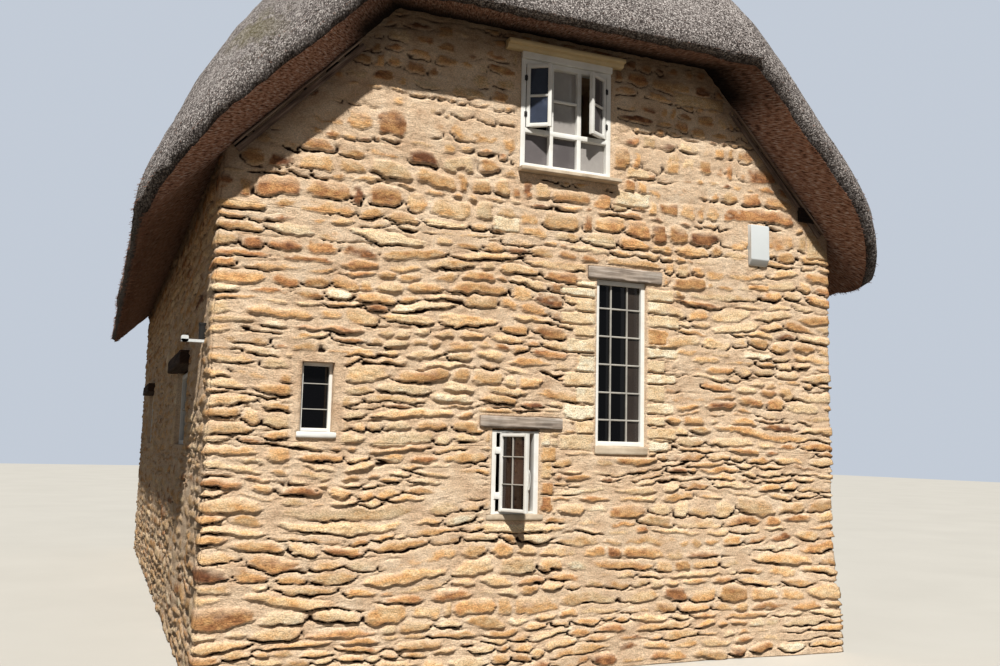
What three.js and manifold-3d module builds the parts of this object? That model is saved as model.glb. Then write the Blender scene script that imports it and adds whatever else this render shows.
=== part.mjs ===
// A stone cottage under a half-hipped thatched roof, in millimetres.
// +Z is up, the front gable faces -Y, and the origin is on the ground under the middle of the roof.
import * as THREE from "three";
import { mergeVertices } from "three/addons/utils/BufferGeometryUtils.js";
import Module from "manifold-3d";

const wasm = await Module();
wasm.setup();

// Driving dimensions of the walls
const RAFTER_SPAN = 5334;
const LEFT_WALL_INSET = 84;
const HOUSE_LENGTH = 9500;
const WALL = 500;
const EAVES_HEIGHT = 3550;
const HIP_WALL_TOP = 4920;
const GROUND_FLOOR_TOP = 900;
const UPPER_FLOOR_TOP = 3200;
const UPPER_FLOOR_DEPTH = 200;

// Driving dimensions of the roof
const SIDE_PITCH = Math.tan((46.5 * Math.PI) / 180);
const HIP_PITCH = Math.tan((50 * Math.PI) / 180);
const HIP_SOFFIT_FALL = 0.157;
const EAVES_SOFFIT_FALL = 0.975;
const VERGE_SOFFIT_RISE = 0.468;
const THATCH_OVER_SIDES = 1074;
const THATCH_OVER_HIPS = 1173;
const EAVES_OVERHANG = 397;
const VERGE_OVERHANG = 403;
const BUTT_OUT = 61;
const BUTT_RISE = 42;
const EDGE_ROLL = 818;
const EDGE_ROLL_POWER = 1.77;
const CORNER_RADIUS = 605;
const RIDGE_ROUNDING = 150;
const HIP_ROUNDING = 320;
const RIDGE_CAP_HALF_WIDTH = 560;
const RIDGE_CAP_DEPTH = 80;
const RIDGE_CAP_PAST_APEX = 260;

// Shared fits
const GAP = 0.3;
const EMBED = 150;
const GLASS = 6;
const HALF_WIDTH = RAFTER_SPAN / 2;
const LEFT_FACE = HALF_WIDTH - LEFT_WALL_INSET;
const HALF_LENGTH = HOUSE_LENGTH / 2;

const STONE = { color: 0xb98a50, roughness: 0.95 };
const THATCH = { color: 0x6b6258, roughness: 1 };
const WHITE_PAINT = { color: 0xe9e8e4, roughness: 0.55 };
const GREY_OAK = { color: 0x8f8578, roughness: 0.9 };
const DARK_OAK = { color: 0x4a3b2e, roughness: 0.85 };
const GLASS_TONE = { color: 0x2c343c, roughness: 0.08 };
const PALE_STONE = { color: 0xcfc2a4, roughness: 0.9 };
const FLOOR_STONE = { color: 0x9c9484, roughness: 0.9 };
const FLOOR_BOARD = { color: 0x8a6a45, roughness: 0.7 };
const CREAM_PAINT = { color: 0xe6dec6, roughness: 0.6 };
const CASE_WHITE = { color: 0xf0efe9, roughness: 0.4 };
const LAMP_BLACK = { color: 0x1b1b1c, roughness: 0.5 };

const cottage = new THREE.Group();

// A closed geometry reduced to its shared corner points, without faces that have shrunk to a line.
function bare(geometry) {
  const copy = geometry.clone();
  for (const name of Object.keys(copy.attributes)) {
    if (name !== "position") copy.deleteAttribute(name);
  }
  const merged = mergeVertices(copy, 1e-3);
  const kept = [];
  const index = merged.index.array;
  for (let i = 0; i < index.length; i += 3) {
    const [a, b, c] = [index[i], index[i + 1], index[i + 2]];
    if (a !== b && b !== c && c !== a) kept.push(a, b, c);
  }
  return { points: merged.attributes.position.array, triangles: new Uint32Array(kept) };
}

function solidOf(geometry) {
  const { points, triangles } = bare(geometry);
  return new wasm.Manifold(
    new wasm.Mesh({ numProp: 3, vertProperties: points, triVerts: triangles }),
  );
}

function geometryOf(solid) {
  const mesh = solid.getMesh();
  const geometry = new THREE.BufferGeometry();
  geometry.setAttribute("position", new THREE.BufferAttribute(mesh.vertProperties, 3));
  geometry.setIndex(new THREE.BufferAttribute(mesh.triVerts, 1));
  return geometry;
}

function add(name, solid, finish) {
  const mesh = new THREE.Mesh(geometryOf(solid), new THREE.MeshStandardMaterial(finish));
  mesh.name = name;
  cottage.add(mesh);
  return mesh;
}

// A box between two corners, grown on every side by grow.
function block(x0, x1, y0, y1, z0, z1, grow = 0) {
  const size = [x1 - x0 + 2 * grow, y1 - y0 + 2 * grow, z1 - z0 + 2 * grow];
  const geometry = new THREE.BoxGeometry(...size);
  geometry.translate((x0 + x1) / 2, (y0 + y1) / 2, (z0 + z1) / 2);
  return solidOf(geometry);
}

function outline(points) {
  return new THREE.Shape(points.map(([u, v]) => new THREE.Vector2(u, v)));
}

function rectangle(u0, u1, v0, v1) {
  return outline([[u0, v0], [u1, v0], [u1, v1], [u0, v1]]);
}

// Turns drawn along-wall, up and inwards distances into the frame of one of the four walls.
const SIDES = {
  front: { along: [1, 0, 0], out: [0, -1, 0], face: HALF_LENGTH },
  rear: { along: [-1, 0, 0], out: [0, 1, 0], face: HALF_LENGTH },
  left: { along: [0, -1, 0], out: [-1, 0, 0], face: LEFT_FACE },
  right: { along: [0, 1, 0], out: [1, 0, 0], face: HALF_WIDTH },
};

function wallMatrix(side) {
  const along = new THREE.Vector3(...SIDES[side].along);
  const out = new THREE.Vector3(...SIDES[side].out);
  const matrix = new THREE.Matrix4().makeBasis(along, new THREE.Vector3(0, 0, 1), out);
  return matrix.setPosition(out.multiplyScalar(SIDES[side].face));
}

// A drawn outline carried from one distance outside the wall face to another, on a wall.
function plate(side, shape, from, to) {
  const geometry = new THREE.ExtrudeGeometry(shape, { depth: to - from, bevelEnabled: false });
  geometry.translate(0, 0, from);
  geometry.applyMatrix4(wallMatrix(side));
  return solidOf(geometry);
}

function panel(side, u0, u1, v0, v1, from, to, grow = 0) {
  const shape = rectangle(u0 - grow, u1 + grow, v0 - grow, v1 + grow);
  return plate(side, shape, from - grow, to + grow);
}

// The thatch's underside: two rafter planes and two hip planes, each at its own slope past the walls.
function soffitHeight(x, y) {
  const fromSide = HALF_WIDTH - Math.abs(x);
  const fromEnd = HALF_LENGTH - Math.abs(y);
  const verge = VERGE_SOFFIT_RISE * Math.max(-fromEnd, 0);
  const side = EAVES_HEIGHT + (fromSide < 0 ? EAVES_SOFFIT_FALL : SIDE_PITCH) * fromSide + verge;
  const end = HIP_WALL_TOP + (fromEnd < 0 ? HIP_SOFFIT_FALL : HIP_PITCH) * fromEnd;
  return Math.min(side, end);
}

// The lower of two heights, with the crease between them rounded over a band.
function blendedLow(a, b, band) {
  const overlap = Math.max(band - Math.abs(a - b), 0) / band;
  return Math.min(a, b) - (overlap * overlap * band) / 4;
}

// The thatch's outer surface before its edge rolls over.
function coatHeight(x, y) {
  const across = Math.hypot(x, RIDGE_ROUNDING);
  const side = EAVES_HEIGHT + THATCH_OVER_SIDES + SIDE_PITCH * (HALF_WIDTH - across);
  const inside = HALF_LENGTH - Math.abs(y);
  const end = HIP_WALL_TOP + THATCH_OVER_HIPS + HIP_PITCH * inside;
  return blendedLow(side, end, HIP_ROUNDING);
}

const ROOF_HALF_WIDTH = HALF_WIDTH + EAVES_OVERHANG + BUTT_OUT;
const ROOF_HALF_LENGTH = HALF_LENGTH + VERGE_OVERHANG + BUTT_OUT;

// How finely the roof's plan is stepped at each corner, each long side and each short side
const CORNER_STEPS = 5;
const LONG_STEPS = 12;
const SHORT_STEPS = 14;

// One ring of plan points at a distance inside the roof's outline; at the roof's half width it is the ridge.
function planRing(inset) {
  const a = ROOF_HALF_WIDTH - inset;
  const b = ROOF_HALF_LENGTH - inset;
  const radius = CORNER_RADIUS * (1 - inset / ROOF_HALF_WIDTH);
  const corners = [[1, -1], [1, 1], [-1, 1], [-1, -1]];
  const points = [];
  corners.forEach(([sx, sy], turn) => {
    const start = ((turn - 1) * Math.PI) / 2;
    for (let step = 0; step <= CORNER_STEPS; step += 1) {
      const angle = start + (step / CORNER_STEPS) * (Math.PI / 2);
      const centre = [sx * (a - radius), sy * (b - radius)];
      points.push([centre[0] + radius * Math.cos(angle), centre[1] + radius * Math.sin(angle)]);
    }
    const last = points[points.length - 1];
    const next = corners[(turn + 1) % 4];
    const target = turn % 2 === 0
      ? [next[0] * a, next[1] * (b - radius)]
      : [next[0] * (a - radius), next[1] * b];
    const steps = turn % 2 === 0 ? LONG_STEPS : SHORT_STEPS;
    for (let step = 1; step < steps; step += 1) {
      const share = step / steps;
      points.push([
        last[0] + (target[0] - last[0]) * share,
        last[1] + (target[1] - last[1]) * share,
      ]);
    }
  });
  return points;
}

const UNDER_INSETS = [ROOF_HALF_WIDTH, 2100, 1500, 1000, BUTT_OUT + VERGE_OVERHANG, BUTT_OUT];
const OVER_INSETS = [0, 20, 80, 180, 320, 500, 760, 1100, 1400, 1750, 2200, 2750, ROOF_HALF_WIDTH];

// The whole coat as one skin: out along the underside, round the butts, and up over to the ridge.
function coatGeometry(lift) {
  const arris = planRing(BUTT_OUT);
  const rings = [];
  for (const inset of UNDER_INSETS) {
    rings.push(planRing(inset).map(([x, y]) => [x, y, soffitHeight(x, y)]));
  }
  for (const inset of OVER_INSETS) {
    const roll = (1 - Math.max(1 - inset / EDGE_ROLL, 0) ** EDGE_ROLL_POWER) ** (1 / EDGE_ROLL_POWER);
    rings.push(planRing(inset).map(([x, y], i) => {
      const butt = soffitHeight(...arris[i]) + BUTT_RISE;
      return [x, y, butt + (Math.max(coatHeight(x, y), butt) - butt) * roll];
    }));
  }
  const around = rings[0].length;
  const geometry = new THREE.PlaneGeometry(1, 1, around, rings.length - 1);
  const position = geometry.attributes.position;
  for (let row = 0; row < rings.length; row += 1) {
    for (let column = 0; column <= around; column += 1) {
      const [x, y, z] = rings[row][(around - column) % around];
      position.setXYZ(row * (around + 1) + column, x, y, z + lift);
    }
  }
  return geometry;
}

const coat = solidOf(coatGeometry(0));
const coatLowered = solidOf(coatGeometry(-GAP));
const coatRaised = solidOf(coatGeometry(GAP));
add("thatch_coat", coat, THATCH);

// The ridge cap is a saddle over the coat's crest, dropped at its ends onto the hips.
function ridgeCap() {
  const apex = EAVES_HEIGHT + THATCH_OVER_SIDES + SIDE_PITCH * HALF_WIDTH;
  const hipRun = (apex - HIP_WALL_TOP - THATCH_OVER_HIPS) / HIP_PITCH;
  const half = HALF_LENGTH - hipRun + RIDGE_CAP_PAST_APEX;
  const width = 2 * RIDGE_CAP_HALF_WIDTH;
  const geometry = new THREE.BoxGeometry(width, 2 * half, 2, 8, 18, 1);
  const position = geometry.attributes.position;
  for (let i = 0; i < position.count; i += 1) {
    const x = position.getX(i);
    const y = position.getY(i);
    const rise = position.getZ(i) > 0 ? RIDGE_CAP_DEPTH : -RIDGE_CAP_DEPTH;
    position.setZ(i, coatHeight(x, y) + rise);
  }
  return solidOf(geometry).subtract(coatRaised);
}
add("thatch_ridge", ridgeCap(), THATCH);

// Openings and fittings of every wall, all measured along the wall, up and outwards from its face
const cuts = { front: [], rear: [], left: [], right: [] };

function cutThrough(side, u0, u1, v0, v1) {
  cuts[side].push(panel(side, u0, u1, v0, v1, -WALL - 1, 1, GAP));
}

// A bar of stone or timber let into the wall's face, standing out from it by proud.
function bedded(name, side, [u0, u1], [v0, v1], proud, deep, finish) {
  add(name, panel(side, u0, u1, v0, v1, -deep, proud), finish);
  cuts[side].push(panel(side, u0, u1, v0, v1, -deep, proud, GAP));
}

// A window frame with square lights cut through it; lights are [u0, u1, v0, v1] of the clear openings.
function frameSolid(side, [u0, u1], [v0, v1], lights, face, depth) {
  let frame = panel(side, u0, u1, v0, v1, face - depth, face);
  for (const light of lights) {
    frame = frame.subtract(panel(side, ...light, face - depth - 1, face + 1));
  }
  return frame;
}

// A plain fixed window: a frame of one light, and its sheet of glass.
function fixedWindow(name, side, u, v, bar, face, depth, finish = WHITE_PAINT) {
  const light = [u[0] + bar, u[1] - bar, v[0] + bar, v[1] - bar];
  add(name + "_frame", frameSolid(side, u, v, [light], face, depth), finish);
  const middle = face - depth / 2;
  const sheet = panel(side, ...light, middle - GLASS / 2, middle + GLASS / 2, -GAP);
  add(name + "_glass", sheet, GLASS_TONE);
  cutThrough(side, ...u, ...v);
}

// Two hinge blocks of a leaf, bridging from its pivot edge to the jamb, reach away.
const HINGE_HEIGHT = 52;
const HINGE_LAP = 14;
const HINGE_ON_LEAF = 10;
const HINGE_PROUD = 9;
const HINGE_SHARES = [0.2, 0.78];

function hingeBlocks(v0, v1, reach) {
  let blocks = null;
  for (const share of HINGE_SHARES) {
    const low = v0 + (v1 - v0) * share - HINGE_HEIGHT / 2;
    const high = low + HINGE_HEIGHT;
    const flap = block(-reach - HINGE_LAP, HINGE_ON_LEAF, low, high, GAP, HINGE_PROUD);
    const knuckle = block(GAP - reach, HINGE_ON_LEAF, low, high, -HINGE_PROUD, HINGE_PROUD);
    const hinge = flap.add(knuckle);
    blocks = blocks ? blocks.add(hinge) : hinge;
  }
  return blocks;
}

// A hinged leaf with its pane, drawn flat behind its pivot edge and swung outwards by an angle.
// Its pivot edge is on its left; a right-handed leaf is its mirror image.
function leafSolid(width, v0, v1, bar, degrees, reach) {
  const rails = block(0, width, v0, v1, -LEAF_DEPTH, 0);
  const light = block(bar, width - bar, v0 + bar, v1 - bar, -LEAF_DEPTH - 1, 1);
  const middle = -LEAF_DEPTH / 2;
  const pane = block(bar / 2, width - bar / 2, v0 + bar / 2, v1 - bar / 2,
    middle - GLASS / 2, middle + GLASS / 2);
  const flat = geometryOf(rails.subtract(light).add(pane));
  flat.rotateY((-degrees * Math.PI) / 180);
  return solidOf(flat).add(hingeBlocks(v0, v1, reach));
}

function leaf(name, side, hand, hinge, width, [v0, v1], bar, face, degrees, reach) {
  const geometry = geometryOf(leafSolid(width, v0, v1, bar, degrees, reach));
  const mirror = hand === "right";
  if (mirror) {
    geometry.scale(-1, 1, 1);
    geometry.setIndex([...geometry.index.array].reverse());
  }
  geometry.translate(hinge, 0, face);
  geometry.applyMatrix4(wallMatrix(side));
  add(name, solidOf(geometry), WHITE_PAINT);
}

// The hood over an upper window: a board as wide as the frame, under a stepped course that runs past its ends.
const HOOD_BOARD = [[0, 0], [35, 0], [35, 60], [0, 60]];
const HOOD_COURSE = [[0, 50], [65, 50], [65, 84], [100, 84], [100, 117], [0, 125]];

function alongWall(side, section, u0, u1, v0) {
  const geometry = new THREE.ExtrudeGeometry(outline(section), { depth: u1 - u0, bevelEnabled: false });
  const turn = new THREE.Matrix4().makeBasis(
    new THREE.Vector3(0, 0, 1), new THREE.Vector3(0, 1, 0), new THREE.Vector3(-1, 0, 0));
  geometry.applyMatrix4(turn);
  geometry.translate(u1, v0, GAP);
  geometry.applyMatrix4(wallMatrix(side));
  return solidOf(geometry);
}

// Upper window: three lights over three rows, the two outer upper lights hinged.
const UPPER_U = [-350, 450];
const UPPER_V = [3830, 4712];
const UPPER_BAR = 40;
const UPPER_TRANSOM = 4135;
const UPPER_DEPTH = 70;
const UPPER_FACE = 12;
const LEAF_DEPTH = 36;
const LEAF_BAR = 30;
const LEAF_CLEAR = 3;
const LEFT_LEAF_OPEN = 33;
const RIGHT_LEAF_OPEN = 30;
const SECOND_MULLION_SHIFT = 20;
const UPPER_SILL_U = [-360, 520];
const HOOD_U = [-490, 540];

function upperLights() {
  const third = (UPPER_U[1] - UPPER_U[0]) / 3;
  const half = UPPER_BAR / 2;
  const low = [UPPER_U[0] + UPPER_BAR, UPPER_U[1] - UPPER_BAR, UPPER_V[0] + UPPER_BAR, UPPER_TRANSOM - half];
  const tall = [UPPER_TRANSOM + half, UPPER_V[1] - UPPER_BAR];
  const first = UPPER_U[0] + third;
  const second = UPPER_U[1] - third - SECOND_MULLION_SHIFT;
  return {
    low,
    left: [UPPER_U[0] + UPPER_BAR, first - half, ...tall],
    middle: [first + half, second - half, ...tall],
    right: [second + half, UPPER_U[1] - UPPER_BAR, ...tall],
  };
}

function upperWindow(name, side, openLeft, openRight) {
  const lights = upperLights();
  const all = Object.values(lights);
  add(name + "_frame", frameSolid(side, UPPER_U, UPPER_V, all, UPPER_FACE, UPPER_DEPTH), WHITE_PAINT);
  const back = UPPER_FACE - UPPER_DEPTH - GAP;
  const foot = rectangle(lights.low[0] - 15, lights.low[1] + 15, lights.low[2] - 15, lights.low[3] + 8);
  const stem = panel(side, lights.middle[0] - 8, lights.middle[1] + 8,
    lights.low[3], lights.middle[3] + 15, back - GLASS, back);
  add(name + "_glass", plate(side, foot, back - GLASS, back).add(stem), GLASS_TONE);
  for (const [kind, degrees] of [["left", openLeft], ["right", openRight]]) {
    const [u0, u1, v0, v1] = lights[kind];
    const width = u1 - u0 - 2 * LEAF_CLEAR;
    const hinge = kind === "left" ? u0 + LEAF_CLEAR : u1 - LEAF_CLEAR;
    const rows = [v0 + LEAF_CLEAR, v1 - LEAF_CLEAR];
    leaf(`${name}_${kind}_casement`, side, kind, hinge, width, rows,
      LEAF_BAR, UPPER_FACE, degrees, LEAF_CLEAR);
  }
  bedded(name + "_sill", side, UPPER_SILL_U, [3792, 3830 - GAP], 85, EMBED, PALE_STONE);
  const board = alongWall(side, HOOD_BOARD, ...UPPER_U, UPPER_V[1] + GAP);
  add(name + "_hood", board.add(alongWall(side, HOOD_COURSE, ...HOOD_U, UPPER_V[1] + GAP)), CREAM_PAINT);
  cutThrough(side, ...UPPER_U, ...UPPER_V);
}
upperWindow("front_upper_window", "front", LEFT_LEAF_OPEN, RIGHT_LEAF_OPEN);

upperWindow("rear_upper_window", "rear", 0, 0);

// Tall stair window under a timber lintel
const TALL_U = [345, 800];
const TALL_V = [1685, 3006];
fixedWindow("front_tall_window", "front", TALL_U, TALL_V, 36, -24, 60);
bedded("front_tall_window_lintel", "front", [262, 940], [3007, 3110], 22, EMBED, GREY_OAK);
bedded("front_tall_window_sill", "front", [335, 810], [1615, 1685 - GAP], 20, EMBED, PALE_STONE);

// Low window with a leaf that stands open on bracket hinges
const LOW_U = [-526, -137];
const LOW_V = [1160, 1780];
const LOW_JAMB = 40;
const LOW_RAIL = 18;
const LOW_FACE = -8;
const LOW_DEPTH = 70;
const LOW_LEAF_WIDTH = 262;
const LOW_LEAF_OPEN = 63;
const LOW_HINGE_OFFSET = 24;
const LOW_LEAF_BAR = 26;

function lowWindow() {
  const light = [LOW_U[0] + LOW_JAMB, LOW_U[1] - LOW_JAMB, LOW_V[0] + LOW_RAIL, LOW_V[1] - LOW_RAIL];
  add("front_low_window_frame", frameSolid("front", LOW_U, LOW_V, [light], LOW_FACE, LOW_DEPTH), WHITE_PAINT);
  leaf("front_low_window_casement", "front", "left", light[0] + LOW_HINGE_OFFSET, LOW_LEAF_WIDTH,
    [light[2] + LEAF_CLEAR, light[3] - LEAF_CLEAR], LOW_LEAF_BAR, LOW_FACE, LOW_LEAF_OPEN, LOW_HINGE_OFFSET);
  bedded("front_low_window_lintel", "front", [-630, 50], [1800, 1890], 26, EMBED, GREY_OAK);
  bedded("front_low_window_sill", "front", [-560, -100], [1112, 1160 - GAP], 12, EMBED, PALE_STONE);
  cutThrough("front", ...LOW_U, LOW_V[0], 1800 - 2 * GAP);
}
lowWindow();

// Small window by the left corner, set back in a rendered reveal
fixedWindow("front_small_window", "front", [-1966, -1736], [1735, 2220], 24, -60, 50);
bedded("front_small_window_sill", "front", [-1990, -1712], [1688, 1735 - GAP], 26, EMBED, WHITE_PAINT);

// Side windows, each under a dark timber lintel; along is counted from the front or the rear corner
const SIDE_WINDOW_V = [1620, 2260];
const SIDE_WINDOW_FROM_CORNER = [1700, 2800];
const SIDE_LINTEL_V = [2280, 2395];
const SIDE_LINTEL_PAST = 140;
const SIDE_LINTEL_PROUD = 90;
const DOOR_LINTEL_PROUD = 70;

function sideWindow(name, side, u) {
  fixedWindow(name, side, u, SIDE_WINDOW_V, 40, -40, 55);
  cutThrough(side, ...u, SIDE_WINDOW_V[0], SIDE_LINTEL_V[0] - 2 * GAP);
  bedded(name + "_lintel", side, [u[0] - SIDE_LINTEL_PAST, u[1] + SIDE_LINTEL_PAST],
    SIDE_LINTEL_V, SIDE_LINTEL_PROUD, EMBED, DARK_OAK);
}
const [cornerGap, cornerReach] = SIDE_WINDOW_FROM_CORNER;
const nearStart = [cornerGap - HALF_LENGTH, cornerReach - HALF_LENGTH];
const nearEnd = [HALF_LENGTH - cornerReach, HALF_LENGTH - cornerGap];
sideWindow("left_front_window", "left", nearEnd);
sideWindow("left_rear_window", "left", nearStart);
sideWindow("right_front_window", "right", nearStart);
sideWindow("right_rear_window", "right", nearEnd);

// Plank door in the rear gable, under its upper window
const DOOR_U = [-425, 525];
const DOOR_V = [GROUND_FLOOR_TOP, 2860];
const DOOR_JAMB = 60;
const DOOR_FACE = -120;
const DOOR_LEAF_DEPTH = 45;
const DOOR_FRAME_DEPTH = 90;
const DOOR_CLEAR = 4;
const DOOR_LINTEL_PAST = 200;

function door() {
  const clear = [DOOR_U[0] + DOOR_JAMB, DOOR_U[1] - DOOR_JAMB, DOOR_V[0] - 1, DOOR_V[1] - DOOR_JAMB];
  const rows = [DOOR_V[0] + GAP, DOOR_V[1]];
  add("door_frame", frameSolid("rear", DOOR_U, rows, [clear], DOOR_FACE, DOOR_FRAME_DEPTH), WHITE_PAINT);
  add("door_leaf", panel("rear", clear[0] + DOOR_CLEAR, clear[1] - DOOR_CLEAR, DOOR_V[0] + GAP,
    clear[3] - DOOR_CLEAR, DOOR_FACE - 20 - DOOR_LEAF_DEPTH, DOOR_FACE - 20), DARK_OAK);
  bedded("door_lintel", "rear", [DOOR_U[0] - DOOR_LINTEL_PAST, DOOR_U[1] + DOOR_LINTEL_PAST],
    [DOOR_V[1] + 2 * GAP, DOOR_V[1] + 120], DOOR_LINTEL_PROUD, EMBED, DARK_OAK);
  cutThrough("rear", ...DOOR_U, DOOR_V[0], DOOR_V[1]);
}
door();

// Walls stand between the ground and the thatch, whose underside cuts their tops.
const WALL_INTO_THATCH = 120;

function gable(side) {
  const start = side === "front" ? -LEFT_FACE : -HALF_WIDTH;
  const end = side === "front" ? HALF_WIDTH : LEFT_FACE;
  const top = HIP_WALL_TOP + 2 * WALL_INTO_THATCH;
  const shoulder = EAVES_HEIGHT + WALL_INTO_THATCH;
  const topHalf = HALF_WIDTH - (HIP_WALL_TOP - EAVES_HEIGHT) / SIDE_PITCH;
  const shape = outline([[start, 0], [end, 0], [end, shoulder],
    [topHalf, top], [-topHalf, top], [start, shoulder]]);
  return plate(side, shape, -WALL, 0);
}

function longWall(side) {
  const reach = HALF_LENGTH - WALL - GAP;
  const top = EAVES_HEIGHT + WALL_INTO_THATCH;
  const section = outline([[0, 0], [0, top], [-WALL, top + WALL * SIDE_PITCH], [-WALL, 0]]);
  const geometry = new THREE.ExtrudeGeometry(section, { depth: 2 * reach, bevelEnabled: false });
  const turn = new THREE.Matrix4().makeBasis(
    new THREE.Vector3(0, 0, 1), new THREE.Vector3(0, 1, 0), new THREE.Vector3(-1, 0, 0));
  geometry.applyMatrix4(turn);
  geometry.translate(reach, 0, 0);
  geometry.applyMatrix4(wallMatrix(side));
  return solidOf(geometry);
}

const WALL_KINDS = { front: gable, rear: gable, left: longWall, right: longWall };

// Verge boards lie on the gable's face just under the thatch, from the eaves to the foot of the hip.
const VERGE_BOARD_WIDTH = 110;
const VERGE_BOARD_DEPTH = 40;
const VERGE_FROM_EAVES = 60;
const VERGE_FROM_HIP = 290;

function vergeBoard(name, side, sign, wallFace) {
  const hipX = HALF_WIDTH - (HIP_WALL_TOP - EAVES_HEIGHT) / SIDE_PITCH;
  const foot = wallFace - VERGE_FROM_EAVES;
  const head = hipX + VERGE_FROM_HIP;
  const rise = (u) => EAVES_HEIGHT + SIDE_PITCH * (HALF_WIDTH - u) - 2 * GAP;
  const points = [[foot, rise(foot)], [head, rise(head)],
    [head, rise(head) - VERGE_BOARD_WIDTH], [foot, rise(foot) - VERGE_BOARD_WIDTH]];
  const shape = outline(points.map(([u, v]) => [sign * u, v]));
  add(name, plate(side, shape, GAP, VERGE_BOARD_DEPTH).subtract(coatLowered), GREY_OAK);
}
vergeBoard("front_left_verge_board", "front", -1, LEFT_FACE);
vergeBoard("front_right_verge_board", "front", 1, HALF_WIDTH);
vergeBoard("rear_left_verge_board", "rear", 1, LEFT_FACE);
vergeBoard("rear_right_verge_board", "rear", -1, HALF_WIDTH);

for (const [side, make] of Object.entries(WALL_KINDS)) {
  let wall = make(side).subtract(coatLowered);
  for (const cut of cuts[side]) wall = wall.subtract(cut);
  add(side + "_wall", wall, STONE);
}

// Floors lie between the walls: the lower one on solid ground, the upper one carried at its edges.
function floor(name, z0, z1, finish) {
  const within = WALL + GAP;
  const y = HALF_LENGTH - WALL - 2 * GAP;
  add(name, block(within - LEFT_FACE, HALF_WIDTH - within, -y, y, z0, z1), finish);
}
floor("ground_floor", 0, GROUND_FLOOR_TOP, FLOOR_STONE);
floor("upper_floor", UPPER_FLOOR_TOP - UPPER_FLOOR_DEPTH, UPPER_FLOOR_TOP, FLOOR_BOARD);

// Alarm box high on the right of the front gable, its foot sloped back
const ALARM_U = [1797, 1985];
const ALARM_DEPTH = 60;
const ALARM_OUTLINE = [[0, 3250], [25, 3250], [ALARM_DEPTH, 3300], [ALARM_DEPTH, 3600], [0, 3610]];

function alarmBox() {
  const width = ALARM_U[1] - ALARM_U[0];
  const geometry = new THREE.ExtrudeGeometry(outline(ALARM_OUTLINE), { depth: width, bevelEnabled: false });
  const turn = new THREE.Matrix4().makeBasis(
    new THREE.Vector3(0, 0, 1), new THREE.Vector3(0, 1, 0), new THREE.Vector3(-1, 0, 0));
  geometry.applyMatrix4(turn);
  geometry.translate(ALARM_U[1], 0, GAP);
  geometry.applyMatrix4(wallMatrix("front"));
  add("alarm_box", solidOf(geometry), CASE_WHITE);
}
alarmBox();

// Small black lamp on the left wall near the front corner, over an arm with a raised end
const LAMP_U = [HALF_LENGTH - 400, HALF_LENGTH - 344];
const LAMP_V = [2362, 2480];
const LAMP_OUT = 52;
const ARM_V = [2343, 2362];
const ARM_OUT = 172;
const ARM_END = 50;
const ARM_END_RISE = 26;

function wallLamp() {
  const head = panel("left", ...LAMP_U, ...LAMP_V, GAP, LAMP_OUT);
  const arm = panel("left", ...LAMP_U, ARM_V[0], ARM_V[1] + 1, GAP, ARM_OUT);
  const end = panel("left", ...LAMP_U, ARM_V[0], ARM_V[1] + ARM_END_RISE, ARM_OUT - ARM_END, ARM_OUT);
  add("wall_lamp", head.add(arm).add(end), LAMP_BLACK);
}
wallLamp();

export default cottage;
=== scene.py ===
"""Looks of a stone cottage under a half-hipped thatched roof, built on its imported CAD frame.

Lengths are in metres. +Z is up, the front gable faces -Y, and the origin is on the ground under the
middle of the roof. A place on a wall is given along it, up, and out from its face.
"""

import math

import bpy
import numpy as np
from mathutils import Matrix, Vector


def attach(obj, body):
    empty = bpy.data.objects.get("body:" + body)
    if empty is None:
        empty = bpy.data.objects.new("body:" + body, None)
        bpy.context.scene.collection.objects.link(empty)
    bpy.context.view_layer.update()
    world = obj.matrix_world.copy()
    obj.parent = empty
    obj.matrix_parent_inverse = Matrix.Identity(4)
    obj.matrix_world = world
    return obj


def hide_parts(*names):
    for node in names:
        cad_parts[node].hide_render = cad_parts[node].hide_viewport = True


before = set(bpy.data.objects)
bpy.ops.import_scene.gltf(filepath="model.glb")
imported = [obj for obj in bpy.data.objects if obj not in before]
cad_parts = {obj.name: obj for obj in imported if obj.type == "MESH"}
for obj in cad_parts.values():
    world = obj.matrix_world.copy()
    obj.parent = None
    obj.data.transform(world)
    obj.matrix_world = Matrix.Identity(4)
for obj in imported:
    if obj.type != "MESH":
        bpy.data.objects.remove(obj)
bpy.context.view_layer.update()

bl_info = {
    "name": "Thatched stone cottage",
    "version": (1, 0, 0),
    "blender": (4, 5, 0),
    "location": "View3D > Sidebar > Cottage",
    "description": "Builds the stonework, thatch, windows, timber and stage of a small stone cottage",
    "category": "Add Mesh",
}

# Body of the house, as the CAD has it
HALF_WIDTH = 2.667
HALF_LENGTH = 4.75
EAVES = 3.55
HIP_TOP = 4.92
SIDE_PITCH = math.tan(math.radians(46.5))
HIP_PITCH = math.tan(math.radians(50.0))
HIP_SOFFIT_FALL = 0.157
EAVES_SOFFIT_FALL = 0.975
VERGE_SOFFIT_RISE = 0.468
OVER_SIDES = 1.074
OVER_HIPS = 1.173
EAVES_OVERHANG = 0.397
VERGE_OVERHANG = 0.403
BUTT_OUT = 0.061
BUTT_RISE = 0.042
EDGE_ROLL = 0.818
EDGE_ROLL_POWER = 1.77
CORNER_RADIUS = 0.605
RIDGE_ROUNDING = 0.15
HIP_ROUNDING = 0.32
ROOF_HALF_WIDTH = HALF_WIDTH + EAVES_OVERHANG + BUTT_OUT
ROOF_HALF_LENGTH = HALF_LENGTH + VERGE_OVERHANG + BUTT_OUT

LEFT_SET_IN = 0.084
LEFT_FACE = HALF_WIDTH - LEFT_SET_IN
ACROSS = HALF_WIDTH + LEFT_FACE

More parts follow.
